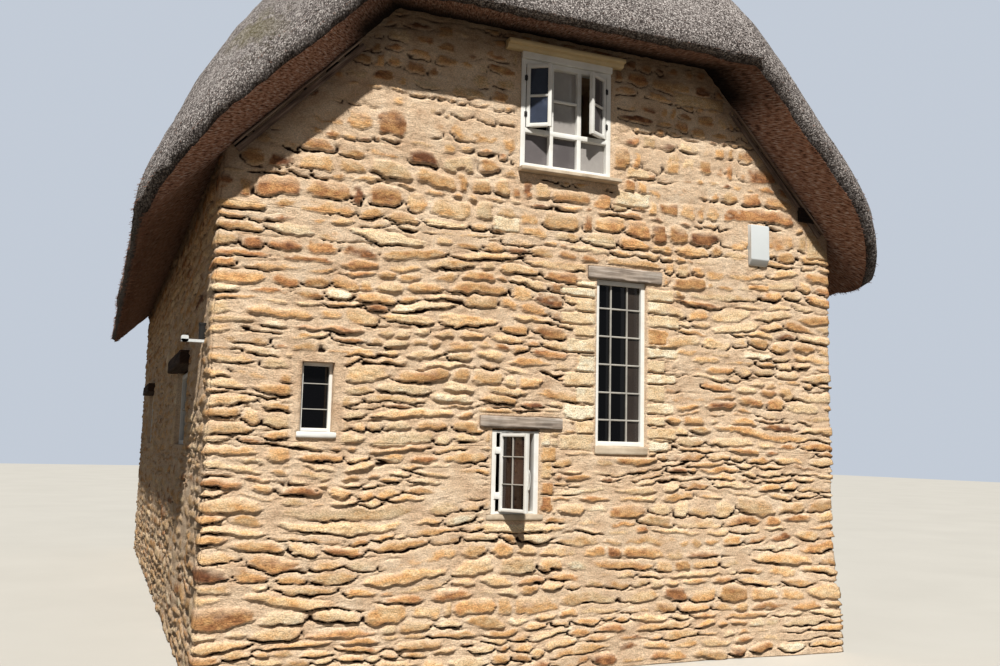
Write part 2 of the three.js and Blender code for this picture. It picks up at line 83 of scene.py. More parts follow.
# Each wall: the way along it, the way out, its face's distance from the middle, and its two ends along
WALLS = {
    "front": ((1, 0), (0, -1), HALF_LENGTH, -LEFT_FACE, HALF_WIDTH),
    "right": ((0, 1), (1, 0), HALF_WIDTH, -HALF_LENGTH, HALF_LENGTH),
    "rear": ((-1, 0), (0, 1), HALF_LENGTH, -HALF_WIDTH, LEFT_FACE),
    "left": ((0, -1), (-1, 0), LEFT_FACE, -HALF_LENGTH, HALF_LENGTH),
}
# Distance round the house, from the front left corner, at which each wall's distances along are 0
ROUND_AT = {
    "front": LEFT_FACE,
    "right": ACROSS + HALF_LENGTH,
    "rear": ACROSS + 2 * HALF_LENGTH + HALF_WIDTH,
    "left": 2 * ACROSS + 3 * HALF_LENGTH,
}
ROUND = 2 * ACROSS + 4 * HALF_LENGTH
GABLES = ("front", "rear")
UP = np.array([0, 0, 1.0])
QUARTER = math.pi / 2


def on_wall(side, u, v, w):
    """Points at u along a wall, v up and w out from its face: the two plan directions scaled and summed."""
    along, out, face = WALLS[side][:3]
    u, v, w = np.broadcast_arrays(np.asarray(u, float), np.asarray(v, float), np.asarray(w, float))
    x = along[0] * u + out[0] * (face + w)
    y = along[1] * u + out[1] * (face + w)
    return np.stack([x, y, v], -1)


def between(span, share):
    """The place at a share of the way from a span's first end to its second."""
    return span[0] + (span[1] - span[0]) * share


def smooth(low, high, value):
    """0 below low, 1 above high, and the S curve 3t^2 - 2t^3 between them."""
    t = np.clip((value - low) / (high - low), 0, 1)
    return t * t * (3 - 2 * t)


def hashed(i, j, seed):
    """Whole-number pairs scattered evenly over -1 to 1: two odd multiples, mixed by shifts."""
    i = np.asarray(i, np.int64).astype(np.uint32)
    j = np.asarray(j, np.int64).astype(np.uint32)
    h = i * np.uint32(374761393) ^ j * np.uint32(668265263) ^ np.uint32(seed * 40503 + 977)
    h = (h ^ (h >> np.uint32(13))) * np.uint32(1274126177)
    h = (h ^ (h >> np.uint32(15))) * np.uint32(2246822519)
    h ^= h >> np.uint32(16)
    return h.astype(float) / 2147483647.5 - 1


def noise(x, y, seed, wrap=0):
    """Smooth noise from -1 to 1: hashed corners of a unit lattice blended by the S curve.
    With wrap, the lattice repeats after that many cells of x."""
    i, j = np.floor(x), np.floor(y)
    tx, ty = smooth(0, 1, x - i), smooth(0, 1, y - j)
    i0, i1 = (i % wrap, (i + 1) % wrap) if wrap else (i, i + 1)
    low = hashed(i0, j, seed) * (1 - tx) + hashed(i1, j, seed) * tx
    high = hashed(i0, j + 1, seed) * (1 - tx) + hashed(i1, j + 1, seed) * tx
    return low * (1 - ty) + high * ty


def round_noise(s, z, size, stretch, seed):
    """Noise over the walls that closes round the house. Its cells are size metres high, and longer than
    that by stretch."""
    cells = max(int(round(ROUND / (size * stretch))), 3)
    return noise(s / ROUND * cells, z / size, seed, cells)


# Mesh helpers
def put_mesh(name, points, faces, material, slot, uv=None, marks=None, smooth_angle=None, replaced=()):
    """Makes a piece of points and a list of face arrays, rides it on the house and gives it its finish."""
    points = np.asarray(points, np.float32).reshape(-1, 3)
    faces = [np.asarray(f, np.int32) for f in faces if len(f)]
    corners = np.concatenate([f.ravel() for f in faces])
    counts = np.concatenate([np.full(len(f), f.shape[1]) for f in faces])
    starts = np.concatenate([[0], np.cumsum(counts)[:-1]]).astype(np.int32)
    mesh = bpy.data.meshes.new(name)
    mesh.vertices.add(len(points))
    mesh.vertices.foreach_set("co", points.ravel())
    mesh.loops.add(len(corners))
    mesh.loops.foreach_set("vertex_index", corners)
    mesh.polygons.add(len(starts))
    mesh.polygons.foreach_set("loop_start", starts)
    mesh.update(calc_edges=True)
    if uv is not None:
        layer = mesh.uv_layers.new(name="metres")
        layer.data.foreach_set("uv", np.asarray(uv, np.float32)[corners].ravel())
    for mark, values in (marks or {}).items():
        values = np.asarray(values, np.float32)
        kind = "FLOAT" if values.ndim == 1 else "FLOAT_COLOR"
        layer = mesh.attributes.new(mark, kind, "POINT")
        layer.data.foreach_set("value" if kind == "FLOAT" else "color", values.ravel())
    mesh.shade_smooth()
    if smooth_angle is not None:
        mesh.set_sharp_from_angle(angle=math.radians(smooth_angle))
    piece = bpy.data.objects.new(name, mesh)
    bpy.context.scene.collection.objects.link(piece)
    mesh.materials.append(material)
    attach(piece, "root")
    if replaced:
        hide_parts(*replaced)
    return piece


def grid_faces(rows, columns, closed=False, flip=False):
    """Quads of a grid of points laid row by row; closed joins each row's end to its start."""
    last = columns if closed else columns - 1
    r, c = np.meshgrid(np.arange(rows - 1), np.arange(last), indexing="ij")
    d = (c + 1) % columns
    quads = np.stack([r * columns + c, r * columns + d, (r + 1) * columns + d, (r + 1) * columns + c], -1)
    quads = quads.reshape(-1, 4)
    return quads[:, ::-1] if flip else quads


def run_along(points):
    """Distance of each point of a line from its first, along the line."""
    return np.concatenate([[0], np.cumsum(np.linalg.norm(np.diff(points, axis=0), axis=1))])


def unit(vectors, least=0.0):
    """Vectors brought to a length of 1."""
    return vectors / (np.linalg.norm(vectors, axis=-1, keepdims=True) + least)


def rounded_section(across, deep, corner, steps=3):
    """Outline of a rectangle whose corners are arcs, counter-clockwise round its middle."""
    corner = min(corner, across / 2, deep / 2)
    turn = np.arange(4)[:, None] * QUARTER + np.linspace(0, QUARTER, steps + 1)[None]
    sx = np.array([1, -1, -1, 1])[:, None] * (across / 2 - corner)
    sy = np.array([1, 1, -1, -1])[:, None] * (deep / 2 - corner)
    return np.stack([sx + corner * np.cos(turn), sy + corner * np.sin(turn)], -1).reshape(-1, 2)


def carried(path, first, second, section, scale=None):
    """A closed section carried along a path: each ring is path + first * x + second * y, and fans close the
    two ends. Returns points, face arrays and uv, which is metres along and round."""
    path = np.asarray(path, float)
    n, m = len(path), len(section)
    first = np.broadcast_to(first, path.shape)
    second = np.broadcast_to(second, path.shape)
    scale = np.ones(n) if scale is None else np.asarray(scale)
    sec = section[None] * scale[:, None, None]
    rings = path[:, None] + first[:, None] * sec[..., :1] + second[:, None] * sec[..., 1:]
    run, turn = run_along(path), run_along(section)
    uv = np.stack(np.broadcast_arrays(run[:, None], turn[None]), -1).reshape(-1, 2)
    points = np.concatenate([rings.reshape(-1, 3), path[:1], path[-1:]])
    uv = np.concatenate([uv, [[0, 0]], [[run[-1], 0]]])
    ways = np.cross(first[0], second[0]) @ (path[-1] - path[0]) > 0
    sides = grid_faces(n, m, closed=True, flip=not ways)
    ring = np.arange(m)
    head = np.stack([np.full(m, n * m), (ring + 1) % m, ring], -1)
    tail = np.stack([np.full(m, n * m + 1), (n - 1) * m + ring, (n - 1) * m + (ring + 1) % m], -1)
    if not ways:
        head, tail = head[:, ::-1], tail[:, ::-1]
    return points, [sides, head, tail], uv


def even_section(section, spacing):
    """A section's outline walked at an even spacing, so that its flat sides have points too."""
    closed = np.concatenate([section, section[:1]])
    run = run_along(closed)
    places = np.linspace(0, run[-1], max(int(run[-1] / spacing), 8), endpoint=False)
    return np.stack([np.interp(places, run, closed[:, k]) for k in (0, 1)], -1)


def wall_place(side):
    """A wall as a place to build on: the point its distances start from, the way along it and the way out."""
    along, out, face = WALLS[side][:3]
    along, out = np.array([*along, 0.0]), np.array([*out, 0.0])
    return out * face, along, out


def leaf_place(side, sign, hinge, face, degrees):
    """An open leaf as a place to build on: its way along runs from the pivot over the leaf. The sign is 1
    for a leaf hung on the left and -1 for one hung on the right."""
    origin, along, out = wall_place(side)
    turn, way = math.radians(degrees), along * sign
    pivot = origin + along * hinge + out * face
    return pivot, way * math.cos(turn) + out * math.sin(turn), out * math.cos(turn) - way * math.sin(turn)


def bar(place, start, end, across, deep, face, corner=0.004, section=None, stations=2):
    """A straight bar between two (u, v) points of a place: its front lies at face, its width in the plane."""
    origin, along, out = place
    ends = [origin + along * u + UP * v + out * (face - deep / 2) for u, v in (start, end)]
    way = (ends[1] - ends[0]) / np.linalg.norm(ends[1] - ends[0])
    share = np.linspace(0, 1, stations)[:, None]
    section = rounded_section(across, deep, corner, 2) if section is None else section
    return carried(ends[0] * (1 - share) + ends[1] * share, np.cross(way, out), out, section)


def upright(place, u, v, across, deep, face, corner=0.004, **more):
    """A bar that stands at u from one height to another."""
    return bar(place, (u, v[0]), (u, v[1]), across, deep, face, corner, **more)


def lying(place, u, v, across, deep, face, corner=0.004, **more):
    """A bar that lies at height v from one distance along to another."""
    return bar(place, (u[0], v), (u[1], v), across, deep, face, corner, **more)


SECTION_SPACING = 0.012
STATION_SPACING = 0.02


def rough_bar(place, u, v, deep, proud, corner, seed, rough):
    """A hewn bar along a wall: a rounded section carried along it, pushed out by noise drawn along its grain
    and eased at its ends."""
    section = even_section(rounded_section(v[1] - v[0], deep, corner, 3), SECTION_SPACING)
    middle = (v[0] + v[1]) / 2
    stations = int((u[1] - u[0]) / STATION_SPACING) + 2
    points, faces, uv = lying(place, u, middle, v[1] - v[0], deep, proud, section=section, stations=stations)
    origin, along, out = place
    axis = origin + UP * middle + out * (proud - deep / 2)
    away = points - axis
    away = unit(away - (away @ along)[:, None] * along, 1e-6)
    run, turn = uv.T
    push = noise(run / 0.22, turn / 0.03, seed) + 0.6 * noise(run / 0.05, turn / 0.012, seed + 1)
    ends = np.minimum(run, run.max() - run)
    push = push * rough - 0.6 * corner * np.exp(-(ends / 0.012) ** 2)
    return points + away * push[:, None], faces, uv


LET_IN = 0.001


def border(heap, place, u, v, width, deep, face, rail=None):
    """Four bars round a rectangle: two full stiles, with rails let in between them just behind their face."""
    rail = rail or width
    stiles = (u[0] + width / 2, u[1] - width / 2)
    for x in stiles:
        heap.add(upright(place, x, v, width, deep, face))
    for z in (v[0] + rail / 2, v[1] - rail / 2):
        heap.add(lying(place, stiles, z, rail, deep - 2 * LET_IN, face - LET_IN))


class Heap:
    """Several shapes gathered into one mesh."""

    def __init__(self):
        self.points, self.faces, self.uv, self.marks, self.count = [], [], [], [], 0

    def add(self, shape, mark=0.5):
        """Adds a shape, with its uv moved aside so that no two shapes share a pattern."""
        points, faces, uv = shape
        self.points.append(points)
        self.marks.append(np.full(len(points), mark))
        self.uv.append(uv + np.array([0, 3.7 * len(self.uv)]))
        self.faces += [np.asarray(f) + self.count for f in faces]
        self.count += len(points)

    def put(self, name, material, slot, smooth_angle=40, **more):
        """Makes one piece of everything gathered."""
        by_size = {}
        for f in self.faces:
            by_size.setdefault(f.shape[1], []).append(f)
        faces = [np.concatenate(group) for group in by_size.values()]
        return put_mesh(name, np.concatenate(self.points), faces, material, slot, uv=np.concatenate(self.uv),
                        marks={"piece": np.concatenate(self.marks)}, smooth_angle=smooth_angle, **more)


def put_shapes(name, shapes, material, slot, **more):
    """One piece made of several shapes, each with its own mark from 0 to 1."""
    heap = Heap()
    for k, shape in enumerate(shapes):
        heap.add(shape, (k * 0.37 + 0.2) % 1)
    return heap.put(name, material, slot, **more)


def dressed(name, material):
    """Gives a CAD node its finish."""
    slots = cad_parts[name].data.materials
    slots.clear()
    slots.append(material)


# Rubble stonework
class Rubble:
    """Stones laid in wandering courses round the whole house, each a superellipse |x/a|^p + |y/b|^p = 1."""

    COURSE_APART = 100.0
    FAR = 9.0

    def __init__(self, seed, course, length, top):
        rng = np.random.default_rng(seed)
        heights = course * np.exp(rng.normal(0, 0.3, int(1.4 * top / course)))
        heights = heights * (1 + 0.22 * smooth(2.9, 3.5, np.cumsum(heights)))
        self.levels = np.cumsum(heights) - 0.1
        self.levels = self.levels[: np.searchsorted(self.levels, top) + 1]
        corners = [0.0, ACROSS, ACROSS + 2 * HALF_LENGTH, ROUND - 2 * HALF_LENGTH, ROUND]
        starts, middles, halves, first, counts = [], [], [], [], []
        for k in range(len(self.levels) - 1):
            tall = (self.levels[k + 1] - self.levels[k]) / course
            shrink = 1 - 0.45 * smooth(2.9, 3.6, self.levels[k])
            cuts = []
            for c in range(4):
                before, after = (0.34, 0.17) if (k + c) % 2 else (0.16, 0.36)
                before *= rng.uniform(0.75, 1.2)
                after *= rng.uniform(0.75, 1.2)
                cuts.append((corners[c] + after, before))
            joints = []
            for c in range(4):
                low, high = cuts[c][0], corners[c + 1] - cuts[(c + 1) % 4][1]
                share = length * shrink * (0.7 + 0.3 * tall) * np.exp(rng.normal(0, 0.45, 90))
                places = low + np.concatenate([[0], np.cumsum(share)])
                places = places[places < high - 0.07]
                run = places[-1] - low + share[len(places) - 1]
                joints += list(low + (places - low) * (high - low) / run)
                joints.append(high)
            joints = np.array(joints)
            ends = np.append(joints[1:], joints[0] + ROUND)
            starts.append(joints)
            middles.append((joints + ends) / 2)
            halves.append((ends - joints) / 2)
            first.append(sum(counts))
            counts.append(len(joints))
        self.counts, self.first = np.array(counts), np.array(first)
        self.starts = np.concatenate([s + self.COURSE_APART * k for k, s in enumerate(starts)])
        self.middle = np.concatenate(middles)
        rows = np.repeat(np.arange(len(counts)), counts)
        n = len(self.middle)
        low, high = self.levels[rows], self.levels[rows + 1]
        self.height = (low + high) / 2 + rng.normal(0, 0.008, n)
        high_up = smooth(3.0, 3.7, low)
        self.a = np.concatenate(halves) * rng.uniform(0.86, 1.1, n) * (1 - 0.04 * high_up)
        self.b = (high - low) / 2 * rng.uniform(0.8, 1.3, n) * (1 + 0.1 * high_up)
        self.power = rng.uniform(1.8, 3.6, n) + 0.6 * high_up
        self.tilt = rng.normal(0, 0.07, n)
        self.proud = rng.uniform(0.3, 0.9, n)
        tone = rng.normal(0.53, 0.15, n) - (rng.random(n) < 0.08) * 0.3 - 0.12 * high_up
        self.tone = np.clip(tone, 0, 1)
        self.shade = rng.random(n)
        self.lean = rng.uniform(0.15, 0.9, n)

    def stones_at(self, s, z):
        """The nearest stone at each place, how far inside its edge the place is, and the height in it."""
        last = len(self.counts) - 1
        rows = np.clip(np.searchsorted(self.levels, z) - 1, 0, last)
        best = np.full(s.shape, self.FAR)
        second = np.full(s.shape, self.FAR)
        owner = np.zeros(s.shape, np.int64)
        best_y = np.zeros(s.shape)
        best_end = np.zeros(s.shape)
        for dk in (-1, 0, 1):
            k = np.clip(rows + dk, 0, last)
            before = np.searchsorted(self.starts, s % ROUND + self.COURSE_APART * k, side="right")
            j = before - 1 - self.first[k]
            for dj in (-1, 0, 1):
                stone = self.first[k] + (j + dj) % self.counts[k]
                x = (s - self.middle[stone] + ROUND / 2) % ROUND - ROUND / 2
                y = z - self.height[stone]
                tilt = self.tilt[stone]
                x, y = x + y * tilt, y - x * tilt
                p = self.power[stone]
                across = (np.abs(x) / self.a[stone]) ** p
                up = (np.abs(y) / self.b[stone]) ** p
                q = (across + up) ** (1 / p)
                nearer = q < best
                again = (~nearer) & (q < second) & (stone != owner)
                second = np.where(nearer & (stone != owner), best, np.where(again, q, second))
                best_end = np.where(nearer, across / (across + up + 1e-9), best_end)
                best_y = np.where(nearer, y / self.b[stone], best_y)
                owner = np.where(nearer, stone, owner)
                best = np.where(nearer, q, best)
        reach = self.b[owner] + (self.a[owner] - self.b[owner]) * best_end
        inside = np.minimum((1 - best) * reach, (second - best) * 0.5 * self.b[owner])
        return owner, inside, best_y


# Windows and door: extents along and up the wall, bar widths, faces, depths, and shares at which bars lie
UPPER_U = (-0.35, 0.45)
UPPER_V = (3.83, 4.712)
UPPER_SILL_U = (-0.36, 0.52)
UPPER_SILL_V = (3.794, 3.828)
UPPER_TRANSOM = 4.135
UPPER_BAR = 0.04
SECOND_SHIFT = 0.02
UPPER_FACE = 0.012
UPPER_DEEP = 0.07
HOOD_U = (-0.49, 0.54)
LEAF_DEEP = 0.036
LEAF_STILE = 0.03
LEAF_CLEAR = 0.003
PANE_BACK = 0.042
HINGE_SHARES = (0.2, 0.78)
TALL_U = (0.345, 0.8)
TALL_V = (1.685, 3.006)
TALL_FACE = -0.024
TALL_COLUMNS = (0.304, 0.692)
TALL_ROWS = (0.135, 0.309, 0.488, 0.668, 0.848)
LOW_U = (-0.526, -0.137)
LOW_V = (1.16, 1.78)
LOW_FACE = -0.008
LOW_JAMB = 0.04
LOW_LEAF = 0.262
LOW_HINGE_OFF = 0.024
LOW_RAIL = 0.018
LOW_OPEN = 63.0
SMALL_U = (-1.966, -1.736)
SMALL_V = (1.735, 2.22)
SMALL_FACE = -0.06
SMALL_ROWS = (0.303, 0.715)
SIDE_U = (1.95, 3.05)
SIDE_V = (1.62, 2.26)
SIDE_FACE = -0.04
SIDE_COLUMNS = (1 / 3, 2 / 3)
DOOR_U = (-0.425, 0.525)
DOOR_V = (0.9, 2.86)
DOOR_FACE = -0.12

# Openings of each wall that interrupt its stones, as (u0, u1, v0, v1, smooth mortar margin)
UPPER_HOLES = [
    (*UPPER_U, *UPPER_V, 0.035),
    (*UPPER_SILL_U, 3.792, UPPER_V[0], 0.02),
    (*UPPER_U, UPPER_V[1], 4.765, 0.0),
    (*HOOD_U, 4.765, 4.84, 0.0),
]
SIDE_HOLES = [
    (-3.05, -1.95, 1.62, 2.28, 0.015),
    (-3.19, -1.81, 2.28, 2.395, 0.012),
    (1.95, 3.05, 1.62, 2.28, 0.015),
    (1.81, 3.19, 2.28, 2.395, 0.012),
]
HOLES = {
    "front": [
        *UPPER_HOLES,
        (*TALL_U, *TALL_V, 0.008),
        (0.262, 0.94, TALL_V[1], 3.11, 0.012),
        (0.335, 0.81, 1.615, TALL_V[0], 0.012),
        (*LOW_U, LOW_V[0], 1.8, 0.012),
        (-0.63, 0.05, 1.8, 1.89, 0.012),
        (-0.56, -0.1, 1.112, LOW_V[0], 0.015),
        (*SMALL_U, *SMALL_V, 0.06),
        (-1.99, -1.712, 1.688, SMALL_V[0], 0.02),
    ],
    "rear": [
        *UPPER_HOLES,
        (*DOOR_U, DOOR_V[0], 2.861, 0.015),
        (-0.625, 0.725, 2.861, 2.98, 0.012),
    ],
    "right": SIDE_HOLES,
    "left": SIDE_HOLES,
}


def jamb_stack(side, u, way, v0, v1, long_reach, short_reach, seed, pale):
    """Squared blocks up one side of an opening, long and short in turn, each as its side, u0, u1, v0, v1,
    tone and how proud it stands."""
    rng = np.random.default_rng(seed)
    blocks, v, turn = [], v0, seed % 2
    while v < v1 - 0.05:
        tall = min(rng.uniform(0.075, 0.15), v1 - v)
        reach = (long_reach if turn else short_reach) * rng.uniform(0.85, 1.1)
        ends = sorted((u, u + way * reach))
        tone = rng.uniform(0.72, 1.0) if rng.random() < pale else rng.uniform(0.42, 0.66)
        blocks.append((side, *ends, v, v + tall, tone, rng.uniform(0.35, 0.8)))
        v += tall
        turn = 1 - turn
    return blocks


# Larger dressed stones of the front, each as (u0, u1, v0, v1, tone, how proud it stands)
FRONT_BLOCKS = (
    (-0.125, -0.02, 1.17, 1.3, 0.26, 0.6),
    (-0.125, -0.01, 1.3, 1.4, 0.3, 0.5),
    (-0.58, -0.08, 1.02, 1.105, 0.82, 0.8),
    (-0.56, -0.33, 3.3, 3.43, 0.93, 0.6),
    (0.5, 0.84, 3.63, 3.76, 0.9, 0.6),
    (0.6, 0.83, 3.86, 3.97, 0.72, 0.6),
    (1.06, 1.56, 4.56, 4.68, 0.62, 0.5),
    (2.42, 2.67, 3.36, 3.62, 0.74, 0.5),
    (1.79, 2.02, 3.03, 3.1, 0.42, 0.7),
)


def squared_blocks():
    """Every squared block that stands at a set place: the front's dressed stones and the openings' jambs."""
    blocks = jamb_stack("front", 0.342, -1, 1.64, 2.98, 0.31, 0.19, 5, 0.95)
    blocks += jamb_stack("front", 0.803, 1, 1.64, 2.98, 0.3, 0.2, 8, 0.95)
    blocks += jamb_stack("front", -0.133, 1, 1.42, 1.78, 0.14, 0.11, 14, 0.7)
    blocks += [("front", *block) for block in FRONT_BLOCKS]
    for side in ("left", "right"):
        for u0, u1 in ((-SIDE_U[1], -SIDE_U[0]), SIDE_U):
            blocks += jamb_stack(side, u0, -1, 1.61, 2.27, 0.3, 0.18, 21 + int(u0 + 5), 0.3)
            blocks += jamb_stack(side, u1, 1, 1.61, 2.27, 0.3, 0.18, 30 + int(u1 + 5), 0.3)
    blocks += jamb_stack("rear", -0.43, -1, 0.9, 2.85, 0.36, 0.2, 41, 0.5)
    blocks += jamb_stack("rear", 0.53, 1, 0.9, 2.85, 0.36, 0.2, 44, 0.5)
    return blocks


BLOCK_REACH = 0.05
BLOCK_CORNER = 0.022
SKIN_MARGIN = 0.02


def wall_relief(rubble, blocks, side, u, z, depth):
    """Height of the wall's surface over its face, and its marks: stone share, tone, shade and open joint.
    All are given for plain lists of places. A stone domes and leans out downwards, rises at once at its
    foot and slowly at its head; mortar is low noise, and the higher of the two shows. An open joint is a
    dark gap along a stone's foot, sunk into the face; its dark colour is partly earth and partly painted
    shade under the stone's ledge. Mortar smeared over each stone's head also paints the head paler, as if lit
    from above."""
    s = ROUND_AT[side] + u
    sw = s + 0.04 * round_noise(s, z, 0.35, 2, 1) + 0.014 * round_noise(s, z, 0.05, 1.3, 2)
    zw = z + 0.05 * round_noise(s, z, 0.5, 2.0, 3) + 0.016 * round_noise(s, z, 0.16, 1.5, 4)
    zw = zw + 0.011 * round_noise(s, z, 0.045, 1.5, 5) + 0.006 * round_noise(s, z, 0.02, 1.5, 6)
    owner, inside, local = rubble.stones_at(sw, zw)
    high_up = smooth(3.0, 4.3, z)
    tone, shade = rubble.tone[owner], rubble.shade[owner]
    joint = 0.003 + 0.002 * round_noise(s, z, 0.2, 2, 7) + 0.008 * high_up
    inside = inside - joint
    foot = np.where(local < 0, 0.007, 0.022)
    rise = smooth(0, 1, np.clip(inside / foot, 0, 1) ** 0.75)
    dome = 1 - 0.3 * np.clip(local, -1, 1) ** 2
    rough = 0.13 * round_noise(s, z, 0.07, 2, 8) + 0.1 * round_noise(s, z, 0.028, 1.8, 9)
    face = rubble.proud[owner] * dome - rubble.lean[owner] * local * 0.4 + rough
    stone = depth * face * rise - (1 - rise) * depth * 0.7
    bed = depth * (0.2 + 0.3 * round_noise(s, z, 0.4, 1.5, 10) + 0.16 * round_noise(s, z, 0.1, 1.8, 11)
                   + 0.09 * round_noise(s, z, 0.03, 1.4, 12) + 0.1 * high_up)
    crack = smooth(-0.3, 0.3, round_noise(s, z, 0.11, 2.6, 13)) * (1 - 0.45 * high_up)
    near = smooth(-0.015 - 0.006 * high_up, -0.003, inside) * smooth(0.0045, -0.0005, inside)
    # Painted shade: the open joint darkens along each stone's foot and, more weakly, along the head of the
    # stone below it, where the ledge above would shade it
    under = near * np.maximum(smooth(0.15, -0.5, local), 0.45 * smooth(0.6, 0.95, local))
    # Mortar smeared over each stone's head, which also paints the head paler as if lit from above; the
    # stone's own colour shows most at its foot
    smear_and_highlight = smooth(0.85, -0.15, local + 0.35 * round_noise(s, z, 0.06, 2.2, 14))
    bare = smooth(-0.003, 0.017, inside)
    for block_side, u0, u1, v0, v1, block_tone, block_proud in blocks:
        if block_side != side:
            continue
        near_u = (u > u0 - BLOCK_REACH) & (u < u1 + BLOCK_REACH)
        near_z = (z > v0 - BLOCK_REACH) & (z < v1 + BLOCK_REACH)
        spot = np.flatnonzero(near_u & near_z)
        bu, bz, bs = u[spot], z[spot], s[spot]
        wob = 0.011 * round_noise(bs, bz, 0.09, 1.4, 15) + 0.005 * round_noise(bs, bz, 0.025, 1.4, 16)
        qx = np.abs(bu - (u0 + u1) / 2) - (u1 - u0) / 2 + BLOCK_CORNER
        qz = np.abs(bz - (v0 + v1) / 2) - (v1 - v0) / 2 + BLOCK_CORNER
        edge = BLOCK_CORNER - np.hypot(np.maximum(qx, 0), np.maximum(qz, 0))
        edge = edge - np.minimum(np.maximum(qx, qz), 0)
        edge = edge - 0.005 + wob
        step = smooth(0, 0.012, edge)
        level = (bz - (v0 + v1) / 2) / (v1 - v0) * 2
        flat = depth * (0.25 + 0.3 * block_proud - 0.16 * level + 0.9 * rough[spot]) * step
        flat = flat - (1 - step) * depth * 0.5
        kept = edge > -0.005
        spot, edge, level = spot[kept], edge[kept], level[kept]
        stone[spot] = flat[kept]
        tone[spot] = block_tone
        shade[spot] = 0.35 + 0.4 * block_proud
        # Mortar over a block's top, which also paints the top paler as if lit from above
        smear_and_highlight[spot] = smooth(1.15, 0.55, level)
        bare[spot] = smooth(-0.001, 0.006, edge)
        # Painted shade: the dark joint runs along each block's foot
        under[spot] = smooth(0.004, -0.001, edge) * smooth(-0.2, -0.8, level) * 0.8
        bed[spot] = np.minimum(bed[spot], -0.05 * depth)
    margin = np.ones(u.shape)
    for u0, u1, v0, v1, band in HOLES[side]:
        away = np.maximum(np.maximum(u0 - u, u - u1), np.maximum(v0 - z, z - v1))
        margin = np.minimum(margin, smooth(band, band + SKIN_MARGIN, away) if band else (away > 0))
    fillet = below_thatch(side, u, z) + 0.008 * round_noise(s, z, 0.12, 1.5, 17)
    clear = np.where(np.abs(u) > VERGE_HEAD, 0.085, 0.03) if side in GABLES else 0.03
    margin = np.minimum(margin, smooth(clear - 0.025, clear, fillet))
    stone = stone * margin - (1 - margin) * depth
    hollow_and_shade = under * crack * margin
    bed = bed * (0.4 + 0.6 * margin) - hollow_and_shade * depth * 1.3
    height = np.maximum(stone - hollow_and_shade * depth, bed)
    share = smooth(-0.002, 0.005, stone - bed) * (0.3 + 0.7 * smear_and_highlight) * bare
    return height, share, tone, shade, hollow_and_shade


def snapped(start, end, step, places):
    """Grid lines about a step apart, with the nearest one moved onto each given place."""
    lines = np.linspace(start, end, int((end - start) / step) + 1)
    for place in places:
        if lines[0] < place < lines[-1]:
            inner = lines[1:-1]
            inner[np.argmin(np.abs(inner - place))] = place
    return np.unique(lines)


def wall_top(side, u):
    """The thatch's underside over a wall's face, raised a little so that the stones run up into the straw."""
    if side not in GABLES:
        return np.full(np.shape(u), EAVES + SIDE_PITCH * (HALF_WIDTH - WALLS[side][2]) + TOP_LAP)
    return np.minimum(EAVES + SIDE_PITCH * (HALF_WIDTH - np.abs(u)), HIP_TOP) + TOP_LAP


def below_thatch(side, u, v):
    """How far a place on a wall lies under the thatch: on a gable, square to the verge."""
    below = wall_top(side, u) - TOP_LAP - v
    return below * SQUARE_TO_VERGE if side in GABLES else below


CORE_SET_BACK = 0.045
TOP_LAP = 0.09
SQUARE_TO_VERGE = 0.69
CORNER_BAND = 0.05
CORNER_EASE = 0.014
BATTER = 0.05
VERGE_HEAD = HALF_WIDTH - (HIP_TOP - EAVES) / SIDE_PITCH + 0.29
VERGE_FROM_FOOT = 0.06


